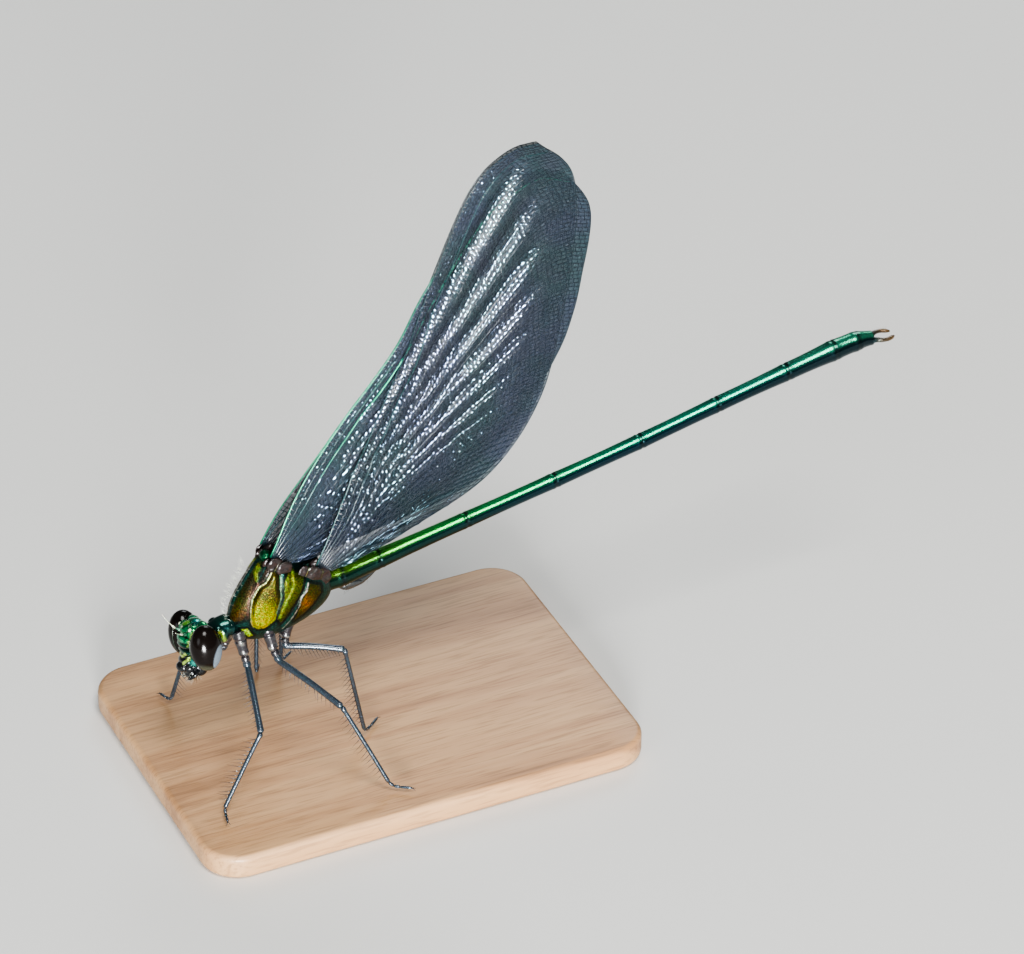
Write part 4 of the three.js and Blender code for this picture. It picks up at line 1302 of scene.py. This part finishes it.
def leg_part(a, b, shares, radii, bow=0.0, steps=26):
    """A tube from joint to joint that swells as its radii say, bowed a little upwards."""
    lift = Vector((0, 0, bow))
    places = [a.lerp(b, s) + lift * math.sin(math.pi * s) for s in np.linspace(0, 1, steps)]
    return tube(places, np.interp(np.linspace(0, 1, steps), shares, radii), 14)


def spine_rows(leg, a, b, facing, count, length, radius, bow=0.0):
    """Two rows of spines along a joint, on the side that faces a place."""
    along = (b - a).normalized()
    inward = (facing - a) - along * (facing - a).dot(along)
    for row in (-1, 1):
        out = Matrix.Rotation(row * 0.6, 3, along) @ inward.normalized()
        for i in range(count):
            share = 0.1 + 0.84 * (i + (0.5 if row > 0 else 0)) / count
            tall = length * (0.6 + 0.5 * math.sin(math.pi * share)) * RANDOM.uniform(0.85, 1.1)
            way = out + along * RANDOM.uniform(0.4, 0.65)
            way += Vector([RANDOM.uniform(-0.06, 0.06) for _ in range(3)])
            start = a.lerp(b, share) + Vector((0, 0, bow * math.sin(math.pi * share))) + out * 0.08
            add(leg, spine(start, way.normalized(), tall, radius))


for name, places in LEGS.items():
    root, hip, knee, ankle, toe = [Vector(p) for p in places]
    leg = bmesh.new()
    up_root = root.lerp(hip, -0.15)
    add(leg, leg_part(up_root, root.lerp(hip, 0.72), *COXA_SHAPE, steps=40))
    add(leg, leg_part(root.lerp(hip, 0.66), hip.lerp(knee, 0.05), *TROCHANTER_SHAPE, steps=36))
    add(leg, leg_part(hip, knee, *FEMUR_SHAPE, bow=FEMUR_BOW, steps=40))
    add(leg, leg_part(knee, ankle, *TIBIA_SHAPE, bow=TIBIA_BOW, steps=40))
    spine_rows(leg, hip, knee, ankle, *ROWS["femur"], bow=FEMUR_BOW)
    spine_rows(leg, knee, ankle, hip, *ROWS["tibia"], bow=TIBIA_BOW)
    heel = Vector((*ankle.xy, FLOOR + TOE + 0.35))
    foot = [heel, heel.lerp(toe, 0.22), heel.lerp(toe, 0.5), Vector((*toe.xy, FLOOR + TOE))]
    foot[1].z = FLOOR + TOE + 0.05
    foot[2].z = FLOOR + TOE
    for a, b, thick in zip(foot, foot[1:], (0.13, 0.12, 0.11)):
        add(leg, leg_part(a, b, [0, 0.2, 0.8, 1], [0.07, thick, thick, 0.06], steps=10))
    onward = (foot[3] - foot[2]).normalized()
    for row in (-1, 1):
        out = Matrix.Rotation(row * 0.5, 3, "Z") @ onward
        add(leg, spine(foot[3] - out * 0.05, (out.x, out.y, -0.1), 0.42, 0.05, bend=-0.1))
    for i in range(FOOT_BRISTLES):
        start = foot[1].lerp(foot[3], i / FOOT_BRISTLES) - Vector((0, 0, 0.04))
        add(leg, spine(start, (RANDOM.uniform(-0.7, 0.7), RANDOM.uniform(-0.7, 0.7), -0.25), 0.16, 0.012))
    nodes = [part + "_" + name for part in ("coxa", "femur", "tibia", "tarsus")]
    made = finish_piece("leg_" + name, leg, [leg_skin], nodes)

    def leg_tint(places, root=np.array(root), hip=np.array(hip)):
        """Blue-black, and blotched with grey on the coxa."""
        x, y, z = places.T
        tint = np.tile((0.035, 0.05, 0.075, 0.6), (len(places), 1))
        down = (places - root) @ (hip - root) / ((hip - root) @ (hip - root))
        near = np.linalg.norm(places - root - np.outer(down, hip - root), axis=1) < 0.8
        blotch = np.sin(5.1 * x + 2.0 * z) * np.sin(6.3 * y + 1.0) + np.sin(7.7 * z + 3.1 * x) * 0.7
        coxa = np.tile((0.014, 0.012, 0.017, 0.2), (len(places), 1))
        coxa = lay(coxa, TINTS["black"] * (4, 5, 7, 0.5), soft_step(blotch, 0.2, 0.9) * 0.8)
        coxa = lay(coxa, TINTS["white"] * 0.3, soft_step(-blotch, 0.6, 1.2) * 0.7)
        return lay(tint, coxa, (1 - soft_step(down, 0.75, 1.0)) * near)

    paint(made, leg_tint)

# %% [markdown]
# ## The wings
# A wing is a net. Long veins fan out from the root and split as the wing widens, and short veins
# cross them, so the membrane is left as some two thousand small cells. The net starts as a plain
# grid whose rows are the long veins. Where a strip grows wide its cross edges are halved and
# joined, which splits the strip as a real vein forks. Then most cross edges are dissolved, with
# a phase of their own in each strip, and every cell is inset and domed.

# %% The wings' outlines
# Root: the place where the wing's own plane starts, along and up. Slope: its rise in degrees.
# Out: how far a closed wing stands from the middle, at the root and beyond, and how soon it eases
# from one to the other. Leading and margin: (towards the tip, towards the rear) on its own plane.
WINGS = {
    "forewing": {
        "root": (-0.54, 4.4), "slope": 48, "root_out": 0.95, "out": 0.06, "ease": 5.0, "sheen": 1.0,
        "leading": [
            (0, -0.7), (4.7, -1.8), (11, -2.4), (18, -2.7), (23.1, -3.8), (30.5, -4.5), (34.6, -3.2),
            (36.1, -0.4),
        ],
        "margin": [
            (36.1, -0.4), (34.9, 3.4), (31.5, 6.1), (24.7, 9.6), (16.2, 10.5), (8.6, 8.0), (2.9, 3.9), (0, 1),
        ],
    },
    "hindwing": {
        "root": (3.0, 2.75), "slope": 61, "root_out": 1.25, "out": 0.15, "ease": 6.0, "sheen": 0.35,
        "leading": [
            (0, -0.7), (5, -0.75), (11, -1.0), (17.3, -1.4), (23, -2.2), (31.3, -2.9), (35, -1.7),
            (36.6, 0.4),
        ],
        "margin": [
            (36.6, 0.4), (35.3, 4.2), (31.3, 6.9), (25, 9.4), (17, 11.5), (10, 10.4), (4.3, 5.6), (0, 0.9),
        ],
    },
}
# The rows in front of this share lie between the leading edge and the first strong vein.
COSTAL_SHARE = 0.12
COSTAL_GAP, COSTAL_WIDENING = 0.28, 0.85
RADIAL_END = 0.03
LAST_ROW = 0.985
SAMPLES = 300


class WingPlan:
    """Places on one wing, by how far out (0 root, 1 margin) and which row (0 front, 1 behind)."""

    def __init__(self, leading, margin):
        """Sample the leading edge, the margin and the first strong vein."""
        self.evenly = np.linspace(0, 1, SAMPLES)
        self.front = smooth_line(leading, SAMPLES)
        self.margin = smooth_line(margin, SAMPLES)
        ease = soft_step(self.evenly, 0.0, 0.14)
        gap = np.column_stack([np.zeros(SAMPLES), COSTAL_GAP + COSTAL_WIDENING * ease])
        to_margin = self.at(self.margin, RADIAL_END) - self.front[-1]
        close = soft_step(self.evenly, 0.86, 1.0)[:, None]
        self.radial = self.front + gap * (1 - close) + to_margin * close
        self.root = self.radial[0]
        self.root_end = self.margin[-1]

    def at(self, line, share):
        """A place on a sampled line, at a share of its length."""
        return np.column_stack([np.interp(share, self.evenly, line[:, k]) for k in (0, 1)]).squeeze()

    def bow(self, root, end, out):
        """A place on a bowed line from the root to the margin."""
        way = end - root
        bend = np.column_stack([root[:, 0] + 0.6 * way[:, 0], root[:, 1] + 0.35 * way[:, 1]])
        return (1 - out) ** 2 * root + 2 * out * (1 - out) * bend + out**2 * end

    def place(self, out, row):
        """Flat places in millimetres for as many outs and rows."""
        out = np.atleast_1d(out).astype(float)
        row = np.atleast_1d(row).astype(float)
        front = self.at(self.front, out).reshape(-1, 2)
        radial = self.at(self.radial, out).reshape(-1, 2)
        costal = front + (radial - front) * (row / COSTAL_SHARE)[:, None]
        share = np.clip((row - COSTAL_SHARE) / (1 - COSTAL_SHARE), 0, 1)
        root = self.root + (self.root_end - self.root) * share[:, None]
        end = self.at(self.margin, RADIAL_END + (1 - RADIAL_END) * share).reshape(-1, 2)
        first_root = np.tile(self.root, (len(out), 1))
        first_end = np.tile(self.radial[-1], (len(out), 1))
        first = self.bow(first_root, first_end, out[:, None])
        fan = self.bow(root, end, out[:, None]) + (radial - first) * ((1 - share) ** 3)[:, None]
        return np.where((row < COSTAL_SHARE)[:, None], costal, fan)


plans = {name: WingPlan(wing["leading"], wing["margin"]) for name, wing in WINGS.items()}
print("wing lengths in mm:", {n: round(float(p.front[-1, 0]), 1) for n, p in plans.items()})

# %% Where the membrane lies: in ridges that fan out from the wing roots
# One ridge lies at RIDGE_AT degrees round the centre, and the others follow at each period.
RIDGE_CENTRE = (1.66, 4.05)
RIDGE_AT = 47.0
RIDGE_PERIOD = 5.2
RIDGE_SLOPE = 0.54
RIDGE_REACH = 25.0
RIDGE_SPREAD = 0.6
COSTAL_FOLD = 0.08


def ridges(x, z):
    """How far the closed wings stand out of their plane. All four share the ridges, so they nest."""
    reach = np.hypot(x - RIDGE_CENTRE[0], z - RIDGE_CENTRE[1])
    turn = np.degrees(np.arctan2(z - RIDGE_CENTRE[1], x - RIDGE_CENTRE[0]))
    deep = soft_step(turn, 16, 40) * (1 - soft_step(turn, 61, 70))
    deep *= 1 - 0.9 * soft_step(reach - RIDGE_REACH - RIDGE_SPREAD * (turn - RIDGE_AT), -1, 5)
    deep *= 1 - soft_step(turn, 58.5, 61.5) * soft_step(reach, 11, 17)
    height = RIDGE_SLOPE * reach * math.radians(RIDGE_PERIOD) / (2 * math.pi)
    return deep * height * np.sin(2 * np.pi * (turn - RIDGE_AT) / RIDGE_PERIOD)


def costal_fold(out, row):
    """The valley along the leading edge, as deep as a share of a millimetre."""
    across = np.where(row < COSTAL_SHARE, np.abs(row / COSTAL_SHARE - 0.5) - 0.5, 0)
    return COSTAL_FOLD * across * soft_step(out, 0, 0.2)


def on_animal(wing, side, flat, fold=0.0):
    """A place on the wing's own plane, as a place on the animal."""
    slope = math.radians(wing["slope"])
    s, t = flat[:, 0], flat[:, 1]
    spread = wing["out"] + (wing["root_out"] - wing["out"]) * np.exp(-((s / wing["ease"]) ** 2))
    x = wing["root"][0] + s * math.cos(slope) + t * math.sin(slope)
    z = wing["root"][1] + s * math.sin(slope) - t * math.cos(slope)
    return np.column_stack([x, side * spread + ridges(x, z) + fold, z])


def outline(name):
    """A wing's outline seen from the side."""
    edge = np.vstack([plans[name].front[::12], plans[name].margin[::12]])
    return on_animal(WINGS[name], 1, edge)[:, [0, 2]]


outlines = {name: outline(name) for name in WINGS}

# %% Make the net of cells
# Stations along the wing, sectors behind the strong vein, the width in millimetres at which a
# strip forks, the length of a cell, and how often a strip may fork.
STATIONS = 210
SECTORS = 8
WIDEST = 0.5
CELL = 0.42
SPLITS = 4
TINY = 1e-6


def strip_width(plan, low, high):
    """How wide a strip is across its own direction, at each station."""
    out = np.linspace(0, 1, STATIONS + 1)
    a, b = plan.place(out, np.full_like(out, low)), plan.place(out, np.full_like(out, high))
    along = np.gradient((a + b) / 2, axis=0)
    along /= np.maximum(np.linalg.norm(along, axis=1), 1e-9)[:, None]
    apart = b - a
    return np.abs(apart[:, 0] * along[:, 1] - apart[:, 1] * along[:, 0])


def cell_net(plan):
    """A flat grid of (out, row), forked where strips grow wide, with cross veins set apart."""
    net = bmesh.new()
    rows = [0.0, COSTAL_SHARE * 0.5]
    rows += [COSTAL_SHARE + (1 - COSTAL_SHARE) * i / SECTORS for i in range(SECTORS)]
    rows.append(LAST_ROW)
    bmesh.ops.create_grid(net, x_segments=STATIONS, y_segments=len(rows) - 1, size=0.5)
    for v in net.verts:
        station = round((v.co.x + 0.5) * STATIONS)
        line_number = round((v.co.y + 0.5) * (len(rows) - 1))
        v.co = (station / STATIONS, rows[line_number], 0)
    forks = {}
    for _ in range(SPLITS):
        halves = []
        for edge in net.edges:
            (x0, y0, _), (x1, y1, _) = (v.co for v in edge.verts)
            if abs(x0 - x1) > TINY:
                continue
            strip = (round(min(y0, y1), 5), round(max(y0, y1), 5))
            if strip not in forks:
                wide = np.flatnonzero(strip_width(plan, *strip) > WIDEST)
                forks[strip] = (wide[0] + 0.5 + (hash(strip) % 3)) / STATIONS if len(wide) else 2.0
            if x0 > forks[strip]:
                halves.append(edge)
        made = bmesh.ops.bisect_edges(net, edges=halves, cuts=1)["geom_split"]
        bmesh.ops.connect_verts(net, verts=[g for g in made if isinstance(g, bmesh.types.BMVert)])
    reaches, dissolve = {}, []
    for edge in net.edges:
        (x0, y0, _), (x1, y1, _) = (v.co for v in edge.verts)
        if abs(x0 - x1) > TINY or x0 < TINY or x0 > 1 - TINY:
            continue
        middle = round((y0 + y1) / 2, 5)
        if middle not in reaches:
            out = np.linspace(0, 1, STATIONS + 1)
            row_line = plan.place(out, np.full_like(out, middle))
            lengths = np.concatenate([[0], np.cumsum(np.linalg.norm(np.diff(row_line, axis=0), axis=1))])
            reaches[middle] = (lengths, (middle * 7919) % 1.0)
        lengths, phase = reaches[middle]
        station = round(x0 * STATIONS)
        if int(lengths[station] / CELL + phase) == int(lengths[station - 1] / CELL + phase):
            dissolve.append(edge)
    bmesh.ops.dissolve_edges(net, edges=dissolve, use_verts=True)
    return net


# %% Inset and dome the cells
# Half widths and rise of the fine veins in millimetres, the dome as a share of a cell's size,
# and the membrane's thickness in millimetres.
VEIN_HALF = 0.026
COSTAL_HALF = 0.036
VEIN_RISE = 0.012
DOME = 0.29
MEMBRANE = 0.01


def lay_net(plan, wing, side, other):
    """The flat net laid on its wing, with a fine vein round each cell and a dome in it.

    A vertex that lies outside the other pair's outline is marked as lone, as the smoke is denser there.
    """
    net = cell_net(plan)
    params = np.array([v.co[:2] for v in net.verts])
    rows = [face.calc_center_median().y for face in net.faces]
    fold = costal_fold(params[:, 0], params[:, 1])
    laid = on_animal(wing, side, plan.place(params[:, 0], params[:, 1]), fold)
    for v, place in zip(net.verts, laid):
        v.co = place
    bmesh.ops.recalc_face_normals(net, faces=net.faces)
    if sum(f.normal.y * side for f in net.faces) < 0:
        bmesh.ops.reverse_faces(net, faces=net.faces)
    inner = net.faces[:]
    costal = {face for face, row in zip(inner, rows) if row < COSTAL_SHARE}
    for faces, half in [(costal, COSTAL_HALF), (set(inner) - costal, VEIN_HALF)]:
        faces = [face for face in inner if face in faces]
        ring = bmesh.ops.inset_individual(
            net, faces=faces, thickness=half, depth=-VEIN_RISE, use_even_offset=True,
        )
        for face in ring["faces"]:
            face.material_index = 1
    for edge in {e for face in inner for e in face.edges}:
        edge.smooth = False
    bmesh.ops.poke(net, faces=inner, offset=DOME, use_relative_offset=True)
    lone = net.verts.layers.float.new("lone")
    within_other = within(np.array([v.co[:] for v in net.verts])[:, [0, 2]], other)
    for v, inside in zip(net.verts, within_other):
        v[lone] = 1 - float(soft_step(inside, -0.3, 0.3))
    return net


# %% Sweep the main veins
# Each vein: its row, its radius and its greenness at the stops, and how far out it ends.
VEIN_STOPS = [0.0, 0.1, 0.4, 1.0]
VEIN_SIDES = 6
NODUS = 0.46
NEAR_TIP = 0.995
MARGIN_STEPS, MARGIN_RADIUS, MARGIN_GREEN = 110, 0.022, 0.05
VEINS = [
    {
        "row": 0.0, "ends": NEAR_TIP,
        "thick": [0.065, 0.05, 0.04, 0.022], "green": [0.9, 0.8, 0.6, 0.2],
    },
    {
        "row": COSTAL_SHARE / 2, "ends": NODUS,
        "thick": [0.04, 0.03, 0.025, 0.02], "green": [0.1, 0.1, 0.4, 0.4],
    },
    {
        "row": COSTAL_SHARE, "ends": NEAR_TIP,
        "thick": [0.1, 0.05, 0.04, 0.025], "green": [0.05, 0.2, 0.9, 0.7],
    },
]
for i in range(1, SECTORS):
    VEINS.append({
        "row": COSTAL_SHARE + (1 - COSTAL_SHARE) * i / SECTORS, "ends": NEAR_TIP,
        "thick": [0.1 - 0.008 * i, 0.04, 0.026, 0.014], "green": [0.0, 0.05, 0.05, 0.0],
    })


def add_vein(veins, places, radii, greens):
    """Add a swept vein, with its own greenness at each vertex."""
    before = len(veins.verts)
    add(veins, tube(places, radii, VEIN_SIDES))
    layer = veins.verts.layers.float["green"]
    veins.verts.ensure_lookup_table()
    for i, v in enumerate(veins.verts[before:]):
        v[layer] = greens[min(i // VEIN_SIDES, len(greens) - 1)]


def main_veins(plan, wing, side):
    """The long veins of one wing, and the vein round its margin."""
    veins = bmesh.new()
    veins.verts.layers.float.new("green")
    for vein in VEINS:
        out = np.linspace(0.0, vein["ends"], 70)
        rows = np.full_like(out, vein["row"])
        places = on_animal(wing, side, plan.place(out, rows), costal_fold(out, rows))
        greens = np.interp(out, VEIN_STOPS, vein["green"]) * wing["sheen"]
        add_vein(veins, places, np.interp(out, VEIN_STOPS, vein["thick"]), greens)
    rows = np.linspace(COSTAL_SHARE, LAST_ROW, MARGIN_STEPS)
    places = on_animal(wing, side, plan.place(np.ones(MARGIN_STEPS), rows))
    add_vein(veins, places, [MARGIN_RADIUS] * MARGIN_STEPS, [MARGIN_GREEN] * MARGIN_STEPS)
    return veins


# %% Make the four wings
for wing_name, wing in WINGS.items():
    for side_name, side in SIDES.items():
        name = wing_name + "_" + side_name
        other = outlines["hindwing" if wing_name == "forewing" else "forewing"]
        net = lay_net(plans[wing_name], wing, side, other)
        piece = finish_piece(name + "_net", net, [membrane, veins_metal], [name])
        sheet = piece.modifiers.new("thickness", "SOLIDIFY")
        sheet.thickness = MEMBRANE * MM
        sheet.offset = 0.0
        finish_piece(name + "_veins", main_veins(plans[wing_name], wing, side), [veins_metal], [name])

# %% [markdown]
# ## Fine hairs
# Against the light the crown of the head, its chin and the crest of the thorax show short pale
# hairs, each a spine with its own lean.

# %% Plant the hairs
CROWN_HAIRS, CREST_HAIRS, CHIN_HAIRS = 80, 170, 60
CREST = [(-4.35, -0.6), (-4.5, 0.6), (-4.1, 1.8), (-3.5, 3.0), (-2.8, 4.1)]
CREST_SPREAD = 0.35
HEAD_TURN = HEAD.to_3x3()


def sway():
    """A small lean to either side."""
    return RANDOM.uniform(-0.3, 0.3)


hairs = bmesh.new()
for _ in range(CROWN_HAIRS):
    x, y = RANDOM.uniform(-0.6, 0.8), RANDOM.uniform(-1.3, 1.3)
    start = HEAD @ Vector((x, y, 1.3 - 0.12 * y * y - 0.2 * x * x))
    way = HEAD_TURN @ Vector((x * 0.3 + sway(), y * 0.3 + sway(), 1))
    add(hairs, spine(start, way, RANDOM.uniform(0.25, 0.5), 0.008, sides=4))
crest_line = smooth_line(CREST, 60)
for _ in range(CREST_HAIRS):
    x, z = crest_line[RANDOM.randrange(60)]
    y = RANDOM.gauss(0, CREST_SPREAD)
    start = (x + 0.1 + 0.15 * abs(y), y, z)
    way = (-0.9 + sway(), y * 0.6 + sway(), 0.5 + sway())
    add(hairs, spine(start, way, RANDOM.uniform(0.25, 0.55), 0.011, sides=4))
for _ in range(CHIN_HAIRS):
    turn = RANDOM.uniform(-1.5, 1.5)
    start = HEAD @ Vector((-0.3 - 0.75 * math.cos(turn), 0.8 * math.sin(turn), RANDOM.uniform(-2.6, -1.9)))
    way = HEAD_TURN @ Vector((-math.cos(turn), math.sin(turn), -0.9))
    add(hairs, spine(start, way, RANDOM.uniform(0.3, 0.7), 0.014, sides=4))
finish_piece("fine_hairs", hairs, [hair])

# %% [markdown]
# ## The base
# The base keeps its node, because a bevelled block of wood is what it is. A second piece with
# softer edges takes its place in the render, so that the light rolls over its rim.

# %% Model the base
CORNER_ROUND, CORNER_STEPS = 3.0, 12
RIM_ROUND, RIM_STEPS_DOWN = 0.45, 5
low, high = [Vector(corner) / MM - THORAX_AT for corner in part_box("stand_base")]
wood_block = bmesh.new()
bmesh.ops.create_cube(wood_block, size=1.0)
for v in wood_block.verts:
    v.co = [low[k] if v.co[k] < 0 else high[k] for k in range(3)]
upright = [e for e in wood_block.edges if abs(e.verts[0].co.z - e.verts[1].co.z) > 1]
edge_round = {"profile": 0.5, "affect": "EDGES", "material": -1}
bmesh.ops.bevel(wood_block, geom=upright, offset=CORNER_ROUND, segments=CORNER_STEPS, **edge_round)
rim_edges = [e for e in wood_block.edges if e.is_manifold and e.calc_face_angle(0) > 1.2]
bmesh.ops.bevel(wood_block, geom=rim_edges, offset=RIM_ROUND, segments=RIM_STEPS_DOWN, **edge_round)
base = finish_piece("wooden_base", wood_block, [wood], ["stand_base"])

# %% [markdown]
# ## Finish
# The floor goes just under the base.

# %% Set the floor
floor.location.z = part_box("stand_base")[0][2]
